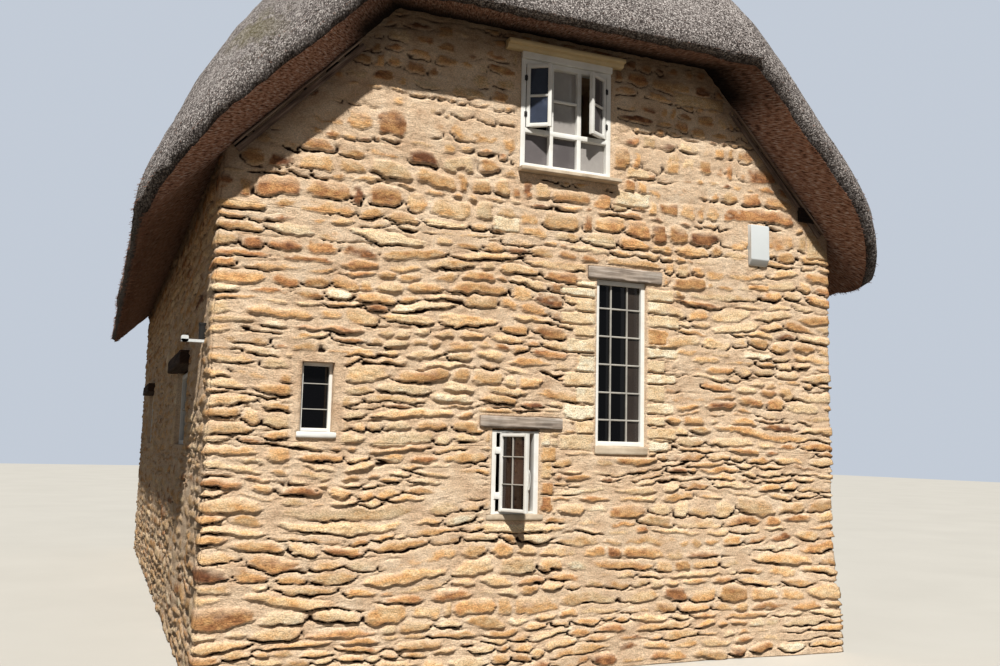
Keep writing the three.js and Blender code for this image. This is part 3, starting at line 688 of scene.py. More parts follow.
def stone_skin(name, side, v0, v1, step_u, step_v, rubble, blocks, depth, material):
    """A wall's stone face over a range of heights: grid points moved out by the relief, open at the holes,
    with its rim turned in to the wall's core. Near a corner the way out swings to the diagonal, and the
    front right corner leans out towards its foot."""
    low, high = WALLS[side][3:]
    holes = HOLES[side]
    us = snapped(low, high, step_u, [h[i] for h in holes for i in (0, 1)])
    vs = snapped(v0, v1, step_v, [h[i] for h in holes for i in (2, 3)])
    u, v = np.meshgrid(us, vs)
    relief = wall_relief(rubble, blocks, side, u.ravel(), v.ravel(), depth)
    height, share, tone, shade, hollow_and_shade = (values.reshape(u.shape) for values in relief)
    corner = np.clip(1 - np.minimum(u - low, high - u) / CORNER_BAND, 0, 1)
    eased = CORNER_EASE * corner ** 2 * (height > 0)
    if side in ("front", "right"):
        reach = (high - 1.4, high) if side == "front" else (low + 1.0, low)
        height = height + BATTER * smooth(1.1, 0.1, v) * smooth(*reach, u)
    height = height - eased
    along, out = np.array(WALLS[side][0], float), np.array(WALLS[side][1], float)
    way = out + along * (np.sign(u) * corner)[..., None]
    base = on_wall(side, u, v, 0.0)
    points = base.copy()
    points[..., :2] += way * height[..., None]
    mid_u, mid_v = (us[:-1] + us[1:]) / 2, (vs[:-1] + vs[1:]) / 2
    mu, mv = np.meshgrid(mid_u, mid_v)
    kept = mv < wall_top(side, mu)
    for u0, u1, h0, h1, _ in holes:
        kept &= ~((mu > u0) & (mu < u1) & (mv > h0) & (mv < h1))
    rows, columns = u.shape
    quads = grid_faces(rows, columns)[kept.ravel()]
    # Rim: edges used by one kept quad only, turned in to the core
    edges = np.concatenate([quads[:, [i, (i + 1) % 4]] for i in range(4)])
    key = np.sort(edges, 1) @ np.array([rows * columns, 1])
    _, where, uses = np.unique(key, return_index=True, return_counts=True)
    rim = edges[where[uses == 1]]
    rim_ids, inverse = np.unique(rim, return_inverse=True)
    inverse = inverse.reshape(rim.shape) + rows * columns
    inner = base.reshape(-1, 3)[rim_ids]
    inner[:, :2] -= way.reshape(-1, 2)[rim_ids] * CORE_SET_BACK
    strip = np.stack([rim[:, 1], rim[:, 0], inverse[:, 0], inverse[:, 1]], -1)
    below = below_thatch(side, u, v) + 0.03 * round_noise(u, v, 0.2, 1.5, 18)
    marks = np.stack([share, tone, shade, hollow_and_shade, smooth(0.27, 0.05, below)], -1).reshape(-1, 5)
    marks = np.concatenate([marks, marks[rim_ids]])
    points = np.concatenate([points.reshape(-1, 3), inner])
    faces = np.concatenate([quads, strip])
    used, compact = np.unique(faces, return_inverse=True)
    return put_mesh(name, points[used], [compact.reshape(faces.shape)], material, "rubble_stone",
                    marks={"wall": marks[used, :4], "shaded": marks[used, 4]})


def wall_core(side, material):
    """The wall itself, a copy of its CAD solid with the outer face set back behind the stones."""
    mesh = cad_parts[side + "_wall"].data
    points = np.empty(len(mesh.vertices) * 3, np.float32)
    mesh.vertices.foreach_get("co", points)
    points = points.reshape(-1, 3).astype(float)
    corners = np.empty(len(mesh.loops), np.int32)
    mesh.loops.foreach_get("vertex_index", corners)
    merged, inverse = np.unique(np.round(points, 5), axis=0, return_inverse=True)
    faces = inverse.reshape(-1)[corners].reshape(-1, 3)
    out, face = np.array(WALLS[side][1], float), WALLS[side][2]
    outer = merged[:, :2] @ out > face - 0.01
    merged[outer, :2] -= out * CORE_SET_BACK
    if side in GABLES:
        merged[merged[:, 0] > HALF_WIDTH - 0.01, 0] -= CORE_SET_BACK
        merged[merged[:, 0] < 0.01 - LEFT_FACE, 0] += CORE_SET_BACK
    return put_mesh(side + "_wall_core", merged, [faces], material, "rubble_stone",
                    smooth_angle=30, replaced=(side + "_wall",))


# Thatch
def soffit_height(x, y):
    """Underside of the thatch: the lower of the rafter and hip planes, each with its slope past the walls."""
    from_side = HALF_WIDTH - np.abs(x)
    from_end = HALF_LENGTH - np.abs(y)
    side = EAVES + np.where(from_side < 0, EAVES_SOFFIT_FALL, SIDE_PITCH) * from_side
    side = side + VERGE_SOFFIT_RISE * np.maximum(-from_end, 0)
    end = HIP_TOP + np.where(from_end < 0, HIP_SOFFIT_FALL, HIP_PITCH) * from_end
    return np.minimum(side, end)


def coat_height(x, y):
    """Top of the thatch: the lower of its side and hip planes, the ridge and the hips rounded over a band."""
    side = EAVES + OVER_SIDES + SIDE_PITCH * (HALF_WIDTH - np.hypot(x, RIDGE_ROUNDING))
    end = HIP_TOP + OVER_HIPS + HIP_PITCH * (HALF_LENGTH - np.abs(y))
    overlap = np.maximum(HIP_ROUNDING - np.abs(side - end), 0) / HIP_ROUNDING
    return np.minimum(side, end) - overlap ** 2 * HIP_ROUNDING / 4


def ring_shape(step):
    """Columns round the roof: each plan point is (xa * a + xr * r, yb * b + yr * r) for a rounded rectangle
    of half sizes a and b and corner radius r. Returns those four factors as arrays."""
    corner_steps = int(CORNER_RADIUS * QUARTER / step) + 2
    signs = [(1, -1), (1, 1), (-1, 1), (-1, -1)]
    factors = []
    for turn, (sx, sy) in enumerate(signs):
        start_angle = turn * QUARTER
        angle = (turn - 1) * QUARTER + np.linspace(0, QUARTER, corner_steps, endpoint=False)
        angle = np.append(angle, start_angle)
        corner = np.stack([np.full(len(angle), sx), np.cos(angle) - sx,
                           np.full(len(angle), sy), np.sin(angle) - sy], -1)
        nx, ny = signs[(turn + 1) % 4]
        target = np.array([nx, math.cos(start_angle) - nx, ny, math.sin(start_angle) - ny])
        run = 2 * (ROOF_HALF_LENGTH if turn % 2 == 0 else ROOF_HALF_WIDTH) - 2 * CORNER_RADIUS
        count = int(run / step)
        share = np.arange(1, count)[:, None] / count
        factors += [corner, corner[-1] + (target - corner[-1]) * share]
    return np.concatenate(factors)


def plan_ring(factors, inset):
    """The roof's plan at a distance inside its outline."""
    a, b = ROOF_HALF_WIDTH - inset, ROOF_HALF_LENGTH - inset
    r = CORNER_RADIUS * (1 - inset / ROOF_HALF_WIDTH)
    return factors[:, 0] * a + factors[:, 1] * r, factors[:, 2] * b + factors[:, 3] * r


def grid_normals(points):
    """Unit normals of a grid of closed rows: the cross product of its two central differences."""
    along = np.roll(points, -1, 1) - np.roll(points, 1, 1)
    across = np.gradient(points, axis=0)
    return unit(np.cross(along, across), 1e-9)


def coat_grid(factors, over, under):
    """Rings of the whole skin, from the underside out to the arris, round the butts and up to the ridge.
    The edge rolls over: height = butt + (top - butt) * (1 - (1 - inset / roll)^p)^(1/p)."""
    rings = []
    butt = soffit_height(*plan_ring(factors, BUTT_OUT)) + BUTT_RISE
    for inset in under:
        x, y = plan_ring(factors, inset)
        rings.append(np.stack([x, y, soffit_height(x, y)], -1))
    for inset in over:
        x, y = plan_ring(factors, inset)
        roll = (1 - max(1 - inset / EDGE_ROLL, 0) ** EDGE_ROLL_POWER) ** (1 / EDGE_ROLL_POWER)
        rings.append(np.stack([x, y, butt + (np.maximum(coat_height(x, y), butt) - butt) * roll], -1))
    return np.array(rings)


def thatch_pieces(settings, top_finish, under_finish):
    """The coat in four pieces: top and underside, each in a front and a rear half, with shared seams."""
    factors = ring_shape(settings.thatch_step)
    under = np.concatenate([[ROOF_HALF_WIDTH, 2.4, 1.8, 1.3, 0.9], np.linspace(0.62, BUTT_OUT, 20)])
    over = np.concatenate([np.linspace(0, 0.3, 20), np.linspace(0.3, ROOF_HALF_WIDTH, 72)[1:]])
    grid = coat_grid(factors, over, under)
    normals = grid_normals(grid)
    lengths = np.linalg.norm(np.diff(grid[len(under)], axis=0), axis=1)
    round_run = np.concatenate([[0], np.cumsum(lengths)])
    down_run = np.concatenate([np.zeros((1, grid.shape[1])),
                               np.cumsum(np.linalg.norm(np.diff(grid, axis=0), axis=2), axis=0)])
    down_run = down_run - down_run[len(under) - 1]
    total = round_run[-1] + lengths[-1]
    around = np.broadcast_to(round_run, down_run.shape)

    def wave(size, stretch, seed):
        cells = int(total / (size * stretch))
        return noise(around / total * cells, down_run / size, seed, cells)

    edge = smooth(0.9, 0.05, down_run) * (down_run > -0.01)
    # Painted shade: a ragged band along the arris that the thatch's top darkens
    fringe_shade = smooth(0.06, 0.03, down_run + 0.025 * wave(0.035, 1.0, 39) + 0.015 * wave(0.15, 1.0, 40))
    ripple = 0.02 * wave(0.6, 1.6, 31) + 0.008 * wave(0.17, 1.6, 32) + 0.005 * wave(0.08, 1.2, 33)
    below = down_run < 0
    ripple = np.where(below, 0.006 * wave(0.12, 0.5, 35) + 0.004 * wave(0.05, 0.6, 36), ripple)
    ragged = np.exp(-(down_run / 0.035) ** 2) * (0.009 * wave(0.06, 1.0, 37) + 0.012 * wave(0.3, 1.0, 38))
    pole = smooth(0.0, 0.4, ROOF_HALF_WIDTH - np.concatenate([under, over]))[:, None]
    grid = grid + normals * (ripple * pole)[..., None]
    grid[..., 2] += ragged
    uv = np.stack([around, down_run], -1)
    last = len(under) - 1
    pieces = (("thatch_top", last, grid.shape[0], top_finish),
              ("thatch_underside", 0, last + 1, under_finish))
    columns = grid.shape[1]
    half = np.flatnonzero(grid[last, :, 1] > 0)
    rear = np.arange(half[0], half[-1] + 2) % columns
    front = np.arange(half[-1] + 1, half[0] + columns + 1) % columns
    for name, first, end, finish in pieces:
        for part, ids in (("front", front), ("rear", rear)):
            block = grid[first:end][:, ids]
            flat_uv = uv[first:end][:, ids]
            if part == "front":
                flat_uv[:, ids < half[0], 0] += total
            marks = {"edge": edge[first:end][:, ids].ravel(), "fringe_shade": fringe_shade[first:end][:, ids].ravel()}
            replaced = ("thatch_coat",) if (name, part) == ("thatch_top", "front") else ()
            put_mesh(f"{name}_{part}", block.reshape(-1, 3), [grid_faces(end - first, len(ids))],
                     finish, "thatch", uv=flat_uv.reshape(-1, 2), marks=marks, replaced=replaced)
    return grid, normals, last


def straw_ends(name, grid, normals, last, count, seed, finish):
    """Loose straws along the arris: three-sided tapered stalks that leave it outwards and down."""
    rng = np.random.default_rng(seed)
    columns = grid.shape[1]
    place = rng.uniform(0, columns, count)
    i = place.astype(int)
    t = (place - i)[:, None]
    depth = np.clip(rng.normal(0, 2.0, count).astype(int), -4, 7) + last
    root = grid[depth, i] * (1 - t) + grid[depth, (i + 1) % columns] * t
    out = normals[last + 1, i]
    out[:, 2] = -rng.uniform(0.1, 0.9, count)
    along = unit(grid[last, (i + 1) % columns] - grid[last, i])
    way = unit(out + along * rng.normal(0, 0.35, (count, 1)))
    length = rng.uniform(0.006, 0.03, count)[:, None]
    radius = rng.uniform(0.0018, 0.0034, count)[:, None]
    side = unit(np.cross(way, UP))
    lift = np.cross(side, way)
    turn = np.arange(3) * 2 * math.pi / 3
    ring = side[:, None] * np.cos(turn)[:, None] + lift[:, None] * np.sin(turn)[:, None]
    base = (root - way * 0.03)[:, None] + ring * radius[:, None]
    tip = (root + way * length)[:, None] + ring * radius[:, None] * 0.55
    points = np.stack([base, tip], 1).reshape(-1, 3)
    start = np.arange(count)[:, None] * 6
    k = np.arange(3)
    after = (k + 1) % 3
    quads = np.stack([start + k, start + after, start + 3 + after, start + 3 + k], -1).reshape(-1, 4)
    caps = (start + np.array([3, 4, 5])).reshape(-1, 3)
    return put_mesh(name, points, [quads, caps], finish, "thatch")


RIDGE_HALF_WIDTH = 0.56
RIDGE_DEPTH = 0.08
RIDGE_PAST_APEX = 0.26
RIDGE_END = 0.12
RIDGE_RINGS = 160
RIDGE_ROUND = 56


def ridge_piece(finish):
    """The ridge cap: a saddle over the crest whose section is a flattened loop, thick at its edges,
    with rounded ends that drop onto the hips."""
    apex = EAVES + OVER_SIDES + SIDE_PITCH * HALF_WIDTH
    half = HALF_LENGTH - (apex - HIP_TOP - OVER_HIPS) / HIP_PITCH + RIDGE_PAST_APEX
    ys = half * np.sin(np.linspace(-QUARTER, QUARTER, RIDGE_RINGS))
    turn = np.linspace(0, 2 * math.pi, RIDGE_ROUND, endpoint=False)
    y, t = np.meshgrid(ys, turn, indexing="ij")
    past = np.clip((np.abs(y) - half + RIDGE_END) / RIDGE_END, 0, 1)
    end = np.sqrt(np.clip(1 - past ** 2, 0.0004, 1))
    x = RIDGE_HALF_WIDTH * np.sign(np.cos(t)) * np.abs(np.cos(t)) ** 0.8 * (0.9 + 0.1 * end)
    lift = RIDGE_DEPTH * np.sign(np.sin(t)) * np.abs(np.sin(t)) ** 0.35 * end
    lift = lift + 0.008 * noise(x / 0.12, y / 0.2, 51) * end
    points = np.stack([x, y, coat_height(x, y) + lift], -1)
    uv = np.stack([y, np.abs(x)], -1).reshape(-1, 2)
    marks = {"edge": np.full(len(uv), 0.6), "fringe_shade": np.zeros(len(uv))}
    return put_mesh("ridge_cap", points, [grid_faces(RIDGE_RINGS, RIDGE_ROUND, closed=True)],
                    finish, "thatch", uv=uv, marks=marks,
                    smooth_angle=60, replaced=("thatch_ridge",))


def pane(place, u, v, face, lap=0.006):
    """A sheet of glass 4 mm thick whose edges run a little into the bars round it."""
    width = u[1] - u[0] + 2 * lap
    return upright(place, (u[0] + u[1]) / 2, (v[0] - lap, v[1] + lap), width, 0.004, face, 0.0015)


def parted(span, shares):
    """The parts of a span between bars that lie at given shares of it."""
    edges = [between(span, share) for share in (0, *shares, 1)]
    return list(zip(edges[:-1], edges[1:]))


def crossed_bars(heap, place, u, v, columns, rows, width, deep, face):
    """Thin bars over a light at given shares of its width and height."""
    for share in columns:
        heap.add(upright(place, between(u, share), v, width, deep, face, width * 0.4))
    for share in rows:
        heap.add(lying(place, u, between(v, share), width, deep - 2 * LET_IN, face - LET_IN, width * 0.4))


def hinges(heap, wall, leaf, edge, way, v, face):
    """Two hinges: a barrel at the pivot, with a flap on the jamb and one on the leaf."""
    for share in HINGE_SHARES:
        z = between(v, share)
        heap.add(upright(leaf, 0.0, (z - 0.024, z + 0.024), 0.012, 0.012, 0.0095, 0.006))
        heap.add(upright(wall, edge - way * 0.007, (z - 0.02, z + 0.02), 0.012, 0.004, face + 0.0035))
        heap.add(upright(leaf, 0.006, (z - 0.018, z + 0.018), 0.01, 0.004, 0.0035))


def hung_leaf(name, place, width, v, stile, columns, rows, bar_width, looks, pane_tones, glass_look,
              leads=False):
    """A glazed leaf on its own place: four stiles and rails, thin bars, and a pane in each light."""
    heap, glass = Heap(), Heap()
    thin = Heap() if leads else heap
    border(heap, place, (0, width), v, stile, LEAF_DEEP, 0.0)
    u_in, v_in = (stile, width - stile), (v[0] + stile, v[1] - stile)
    crossed_bars(thin, place, u_in, v_in, columns, rows, bar_width, LEAF_DEEP * 0.6, -0.006)
    openings = [(across, up) for up in parted(v_in, rows) for across in parted(u_in, columns)]
    for (across, up), tone in zip(openings, pane_tones, strict=True):
        glass.add(pane(place, across, up, -LEAF_DEEP / 2, 0.004), tone)
    heap.put(name + "_leaf", looks["white"], "white_paint", replaced=(name + "_casement",))
    # The low leaf's leads keep the lead's own grey
    if leads:
        thin.put(name + "_leads", looks["lead_and_shaded_white"], "white_paint")
    glass.put(name + "_panes", looks[glass_look], "window_glass")


def upper_window(name, side, opened, looks, pane_tones):
    """Three lights over a transom, the outer two hung as leaves, and three panes below it."""
    place = wall_place(side)
    half = UPPER_BAR / 2
    span = UPPER_U[1] - UPPER_U[0]
    posts = (UPPER_U[0] + span / 3, UPPER_U[0] + span * 2 / 3 - SECOND_SHIFT)
    edges = (UPPER_U[0] + UPPER_BAR, posts[0] - half, posts[0] + half,
             posts[1] - half, posts[1] + half, UPPER_U[1] - UPPER_BAR)
    middle = edges[2:4]
    low = (UPPER_V[0] + UPPER_BAR, UPPER_TRANSOM - half)
    tall = (UPPER_TRANSOM + half, UPPER_V[1] - UPPER_BAR)
    heap, glass, iron = Heap(), Heap(), Heap()
    border(heap, place, UPPER_U, UPPER_V, UPPER_BAR, UPPER_DEEP, UPPER_FACE)
    heap.add(lying(place, (UPPER_U[0] + half, UPPER_U[1] - half), UPPER_TRANSOM,
                   UPPER_BAR, UPPER_DEEP - 0.004, UPPER_FACE - 0.002))
    for x in posts:
        heap.add(upright(place, x, (UPPER_V[0] + half, UPPER_V[1] - half),
                         UPPER_BAR * 0.9, UPPER_DEEP - 0.006, UPPER_FACE - 0.003))
    crossed_bars(heap, place, middle, tall, (), (0.5,), 0.024, 0.03, UPPER_FACE - 0.008)
    heap.put(name + "_bars", looks["white"], "white_paint", replaced=(name + "_frame",))
    back = UPPER_FACE - PANE_BACK
    for k in range(3):
        glass.add(pane(place, edges[2 * k:2 * k + 2], low, back), pane_tones[k])
    rise = (tall[0] + tall[1]) / 2
    glass.add(pane(place, middle, (tall[0], rise), back), pane_tones[3])
    glass.add(pane(place, middle, (rise, tall[1]), back), pane_tones[4])
    glass.put(name + "_panes", looks["upper_glass"], "window_glass", replaced=(name + "_glass",))
    rows = (tall[0] + LEAF_CLEAR, tall[1] - LEAF_CLEAR)
    width = edges[1] - edges[0] - 2 * LEAF_CLEAR
    for hand, edge, way, degrees, tones, glass_look in (
            ("left", edges[0], 1, opened[0], pane_tones[5:7], "blue_reflection_glass"),
            ("right", edges[5], -1, opened[1], pane_tones[7:9], "upper_glass")):
        leaf = leaf_place(side, way, edge + way * LEAF_CLEAR, UPPER_FACE, degrees)
        hung_leaf(f"{name}_{hand}", leaf, width, rows, LEAF_STILE, (), (0.5,), 0.022, looks, tones,
                  glass_look)
        hinges(iron, place, leaf, edge, way, rows, UPPER_FACE)
    iron.put(name + "_hinges", looks["black"], "lamp_black")
    slab = rough_bar(place, UPPER_SILL_U, UPPER_SILL_V, 0.13, 0.085, 0.008, 61, 0.0022)
    put_shapes(name + "_sill_stone", [slab], looks["sill"], "pale_stone", replaced=(name + "_sill",))
    foot = UPPER_V[1] + 0.001
    board = rough_bar(place, UPPER_U, (foot, UPPER_V[1] + 0.06), 0.08, 0.035, 0.003, 62, 0.001)
    put_shapes(name + "_hood_board", [board], looks["white"], "white_paint")
    put_shapes(name + "_moulding", [moulding(place, HOOD_U, foot)],
               looks["cream"], "cream_paint", smooth_angle=50, replaced=(name + "_hood",))


def moulding(place, u, foot):
    """The hood's top course carried along the wall: an ovolo that swells out by sin and rises by 1 - cos,
    and a deep top with eased arrises. Its back stands in the wall."""
    turn = np.linspace(0, QUARTER, 7)
    ovolo = np.stack([0.038 + 0.027 * np.sin(turn), 0.052 + 0.026 * (1 - np.cos(turn))], -1)
    top = [(0.065, 0.083), (0.095, 0.084), (0.1, 0.089), (0.1, 0.112), (0.095, 0.1175), (-0.044, 0.125)]
    profile = np.concatenate([[(-0.044, 0.05)], ovolo, top])
    origin, along, out = place
    centre = np.array([0.01, 0.09])
    share = np.linspace(0, 1, 60)
    sag = 0.0015 * noise(share * 9, share * 0, 71)
    path = origin + along * between(u, share)[:, None] + out * centre[0]
    path = path + UP * (foot + centre[1] + sag[:, None])
    return carried(path, out, UP, profile - centre)


def fixed_window(name, side, u, v, width, face, deep, columns, rows, bar_width, looks, pane_tones):
    """A frame round one light, thin bars over it and a pane in each column."""
    place = wall_place(side)
    heap, glass, thin = Heap(), Heap(), Heap()
    border(heap, place, u, v, width, deep, face)
    u_in, v_in = (u[0] + width, u[1] - width), (v[0] + width, v[1] - width)
    middle = face - deep / 2
    crossed_bars(thin, place, u_in, v_in, columns, rows, bar_width, bar_width * 1.4, middle + bar_width)
    for k, sides in enumerate(parted(u_in, columns)):
        lap = 0.0 if 0 < k < len(columns) else 0.004
        glass.add(pane(place, sides, v_in, middle, lap), pane_tones[k])
    heap.put(name + "_bars", looks["white"], "white_paint", replaced=(name + "_frame",))
    # Painted shade: the thin bars' grey stands for white bars in shade
    thin.put(name + "_thin_bars", looks["lead_and_shaded_white"], "white_paint")
    glass.put(name + "_panes", looks["glass"], "window_glass", replaced=(name + "_glass",))


def low_window(looks):
    """The low window: its frame, the leaf that stands open on two white brackets, and its loop stay."""
    wall = wall_place("front")
    heap = Heap()
    border(heap, wall, LOW_U, LOW_V, LOW_JAMB, 0.07, LOW_FACE, rail=LOW_RAIL)
    edge = LOW_U[0] + LOW_JAMB
    rows = (LOW_V[0] + LOW_RAIL + LEAF_CLEAR, LOW_V[1] - LOW_RAIL - LEAF_CLEAR)
    reach = (edge - 0.014, edge + LOW_HINGE_OFF + 0.008)
    for share in HINGE_SHARES:
        heap.add(lying(wall, reach, between(rows, share), 0.05, 0.016, LOW_FACE + 0.009))
    heap.put("front_low_window_bars", looks["white"], "white_paint", replaced=("front_low_window_frame",))
    leaf = leaf_place("front", 1, edge + LOW_HINGE_OFF, LOW_FACE, LOW_OPEN)
    hung_leaf("front_low_window", leaf, LOW_LEAF, rows, 0.024, (0.46,), (0.335, 0.72), 0.008, looks,
              (0.5, 0.3, 0.4, 0.7, 0.2, 0.55), "low_glass", leads=True)
    turn = np.linspace(0, 2 * math.pi, 33)[:, None]
    pivot, along, out = leaf
    centre = pivot + along * (LOW_LEAF + 0.012) + out * -0.02 + UP * (LOW_V[0] + 0.26)
    path = centre + along * 0.009 * np.cos(turn) + UP * 0.07 * np.sin(turn)
    away = along * np.cos(turn) + UP * np.sin(turn)
    put_shapes("front_low_window_stay", [carried(path, away, out, rounded_section(0.006, 0.006, 0.003))],
               looks["white"], "white_paint")


# Each verge: its wall, its hand, and the side of the wall's middle it lies on, as a sign of distances along
VERGES = (("front", "left", -1), ("front", "right", 1), ("rear", "left", 1), ("rear", "right", -1))
# A verge's board and batten: middle below the thatch, width, depth and face
VERGE_TIMBERS = ((0.052, 0.044, 0.045, 0.016), (0.011, 0.012, 0.05, 0.036))
BRACKET_U = (2.336, 2.51)
BRACKET_Z = 3.755


def verge_boards(looks):
    """Along each verge: a weathered board low on it and a thin batten against the straw, over a near-black
    strip that paints the shade in the gap between them. The front right one has a dark block at its foot."""
    slope = math.atan(SIDE_PITCH)
    for side, hand, sign in VERGES:
        place = wall_place(side)
        inward = np.array([-sign * math.sin(slope), -math.cos(slope)])
        foot = (HALF_WIDTH if hand == "right" else LEFT_FACE) - VERGE_FROM_FOOT
        ends = [np.array([sign * x, EAVES + SIDE_PITCH * (HALF_WIDTH - x)]) for x in (foot, VERGE_HEAD)]
        shapes = []
        for middle, across, deep, face in VERGE_TIMBERS:
            start, end = (p + inward * middle for p in ends)
            shapes.append(bar(place, start, end, across, deep, face, 0.004, stations=60))
        put_shapes(f"{side}_{hand}_verge", shapes, looks["verge_oak"], "grey_oak",
                   replaced=(f"{side}_{hand}_verge_board",))
        # Painted shade: a near-black strip behind the board and batten, where the gap between them lies in
        # shade
        start, end = (p + inward * 0.036 for p in ends)
        shapes = [bar(place, start, end, 0.074, 0.035, 0.004, 0.003, stations=12)]
        if (side, hand) == ("front", "right"):
            shapes.append(lying(place, BRACKET_U, BRACKET_Z, 0.13, 0.07, 0.024, 0.006, stations=8))
        put_shapes(f"{side}_{hand}_verge_shade_strip", shapes, looks["tarred_and_shade"], "dark_oak")


# Each lintel: its wall, extents along and up, how far it stands out, its seed and its look
LINTELS = {
    "front_tall_window_lintel": ("front", (0.262, 0.94), (3.008, 3.109), 0.022, 81, "grey_oak"),
    "front_low_window_lintel": ("front", (-0.63, 0.05), (1.801, 1.889), 0.026, 82, "grey_oak"),
    "left_front_window_lintel": ("left", (1.81, 3.19), (2.281, 2.394), 0.09, 83, "dark_oak"),
    "left_rear_window_lintel": ("left", (-3.19, -1.81), (2.281, 2.394), 0.09, 84, "dark_oak"),
    "right_front_window_lintel": ("right", (-3.19, -1.81), (2.281, 2.394), 0.09, 85, "dark_oak"),
    "right_rear_window_lintel": ("right", (1.81, 3.19), (2.281, 2.394), 0.09, 86, "dark_oak"),
    "door_lintel": ("rear", (-0.625, 0.725), (2.862, 2.979), 0.07, 87, "dark_oak"),
}
# Each sill: its wall, extents along and up, how far it stands out, its seed and its look
SILLS = {
    "front_tall_window_sill": ("front", (0.335, 0.81), (1.616, 1.684), 0.02, 91, "sill"),
    "front_low_window_sill": ("front", (-0.56, -0.1), (1.113, 1.159), 0.012, 92, "sill"),
    "front_small_window_sill": ("front", (-1.99, -1.712), (1.689, 1.734), 0.026, 93, "white"),
}
SILL_SLOTS = {"sill": "pale_stone", "white": "white_paint"}
SET_IN = 0.06


def lintels_and_sills(looks):
    """The hewn beams over the lower openings and the slabs under the front's lower windows."""
    for name, (side, u, v, proud, seed, look) in LINTELS.items():
        shape = rough_bar(wall_place(side), u, v, proud + SET_IN, proud, 0.01, seed, 0.0035)
        put_shapes(name + "_beam", [shape], looks[look], look, smooth_angle=60, replaced=(name,))
    for name, (side, u, v, proud, seed, look) in SILLS.items():
        shape = rough_bar(wall_place(side), u, v, proud + SET_IN, proud, 0.008, seed, 0.002)
        put_shapes(name + "_slab", [shape], looks[look], SILL_SLOTS[look], smooth_angle=60, replaced=(name,))


def plank_door(looks):
    """Upright planks with eased edges, in a frame of two jambs and a head."""
    place = wall_place("rear")
    jamb, clear, planks = 0.06, 0.004, 6
    inner = (DOOR_U[0] + jamb, DOOR_U[1] - jamb)
    posts = (DOOR_U[0] + jamb / 2, DOOR_U[1] - jamb / 2)
    heap = Heap()
    for x in posts:
        heap.add(upright(place, x, (DOOR_V[0] + 0.001, DOOR_V[1]), jamb, 0.09, DOOR_FACE))
    heap.add(lying(place, posts, DOOR_V[1] - jamb / 2, jamb, 0.088, DOOR_FACE - LET_IN))
    heap.put("door_posts", looks["white"], "white_paint", replaced=("door_frame",))
    width = (inner[1] - inner[0] - 2 * clear) / planks
    rows = (DOOR_V[0] + 0.002, DOOR_V[1] - jamb - clear)
    shapes = [upright(place, inner[0] + clear + width * (k + 0.5), rows, width - 0.0015, 0.045,
                      DOOR_FACE - 0.02, 0.005) for k in range(planks)]
    put_shapes("door_planks", shapes, looks["dark_oak"], "dark_oak", replaced=("door_leaf",))


ALARM_U = (1.797, 1.985)
ALARM_SECTION = ((0.0, 3.25), (0.025, 3.25), (0.06, 3.3), (0.06, 3.6), (0.0, 3.61))
LAMP_U = (HALF_LENGTH - 0.4, HALF_LENGTH - 0.344)
LAMP_V = (2.362, 2.48)
LAMP_OUT = 0.052
ARM_V = (2.343, 2.362)
ARM_OUT = 0.172
ARM_END = 0.05
ARM_END_TOP = 2.388


def rounded_outline(points, radius, steps=4):
    """A polygon with each corner replaced by the quadratic arc between points a radius away on each side."""
    points = np.asarray(points, float)
    t = np.linspace(0, 1, steps + 1)[:, None]
    rounds = []
    for before, at, after in zip(np.roll(points, 1, 0), points, np.roll(points, -1, 0)):
        start = at + (before - at) / np.linalg.norm(before - at) * radius
        end = at + (after - at) / np.linalg.norm(after - at) * radius
        rounds.append((1 - t) ** 2 * start + 2 * t * (1 - t) * at + t ** 2 * end)
    return np.concatenate(rounds)


def alarm_case(looks):
    """The alarm's case: its section carried across, drawn in a little over the last few millimetres."""
    origin, along, out = wall_place("front")
    section = rounded_outline(ALARM_SECTION, 0.007)
    centre = np.array([0.03, 3.44])
    ease = np.array([0.0, 0.002, 0.006, 0.012])
    drawn_in = np.array([0.05, 0.022, 0.006, 0.0])
    us = np.concatenate([ALARM_U[0] + ease, ALARM_U[1] - ease[::-1]])
    scale = 1 - np.concatenate([drawn_in, drawn_in[::-1]])
    path = origin + along * us[:, None] + out * centre[0] + UP * centre[1]
    put_shapes("alarm_case", [carried(path, out, UP, section - centre, scale)], looks["case"], "case_white",
               smooth_angle=45, replaced=("alarm_box",))


def lamp(looks):
    """The lamp by the corner: a black case over a white arm with a raised end."""
    place = wall_place("left")
    middle = (LAMP_U[0] + LAMP_U[1]) / 2
    width = LAMP_U[1] - LAMP_U[0]
    cap = (LAMP_V[1] - 0.012, LAMP_V[1] + 0.004)
    shapes = [upright(place, middle, LAMP_V, width, LAMP_OUT, LAMP_OUT, 0.009, stations=8),
              upright(place, middle, cap, width + 0.006, LAMP_OUT + 0.004, LAMP_OUT + 0.003, 0.006)]
    put_shapes("lamp_case", shapes, looks["black"], "lamp_black", replaced=("wall_lamp",))
    arm, end = (ARM_V[0] + ARM_V[1]) / 2, (ARM_V[0] + ARM_END_TOP) / 2
    shapes = [lying(place, LAMP_U, arm, ARM_V[1] - ARM_V[0], ARM_OUT, ARM_OUT),
              lying(place, LAMP_U, end, ARM_END_TOP - ARM_V[0], ARM_END, ARM_OUT, 0.01)]
    put_shapes("lamp_arm", shapes, looks["case"], "case_white")


# Shader helpers
def srgb(red, green, blue):
    """A colour in the usual 0 to 255 steps as linear light."""
    values = np.array([red, green, blue]) / 255
    linear = np.where(values <= 0.04045, values / 12.92, ((values + 0.055) / 1.055) ** 2.4)
    return tuple(float(x) for x in linear)


def darker(colour, factor):
    """A colour with each channel multiplied by a factor."""
    return [c * factor for c in colour]


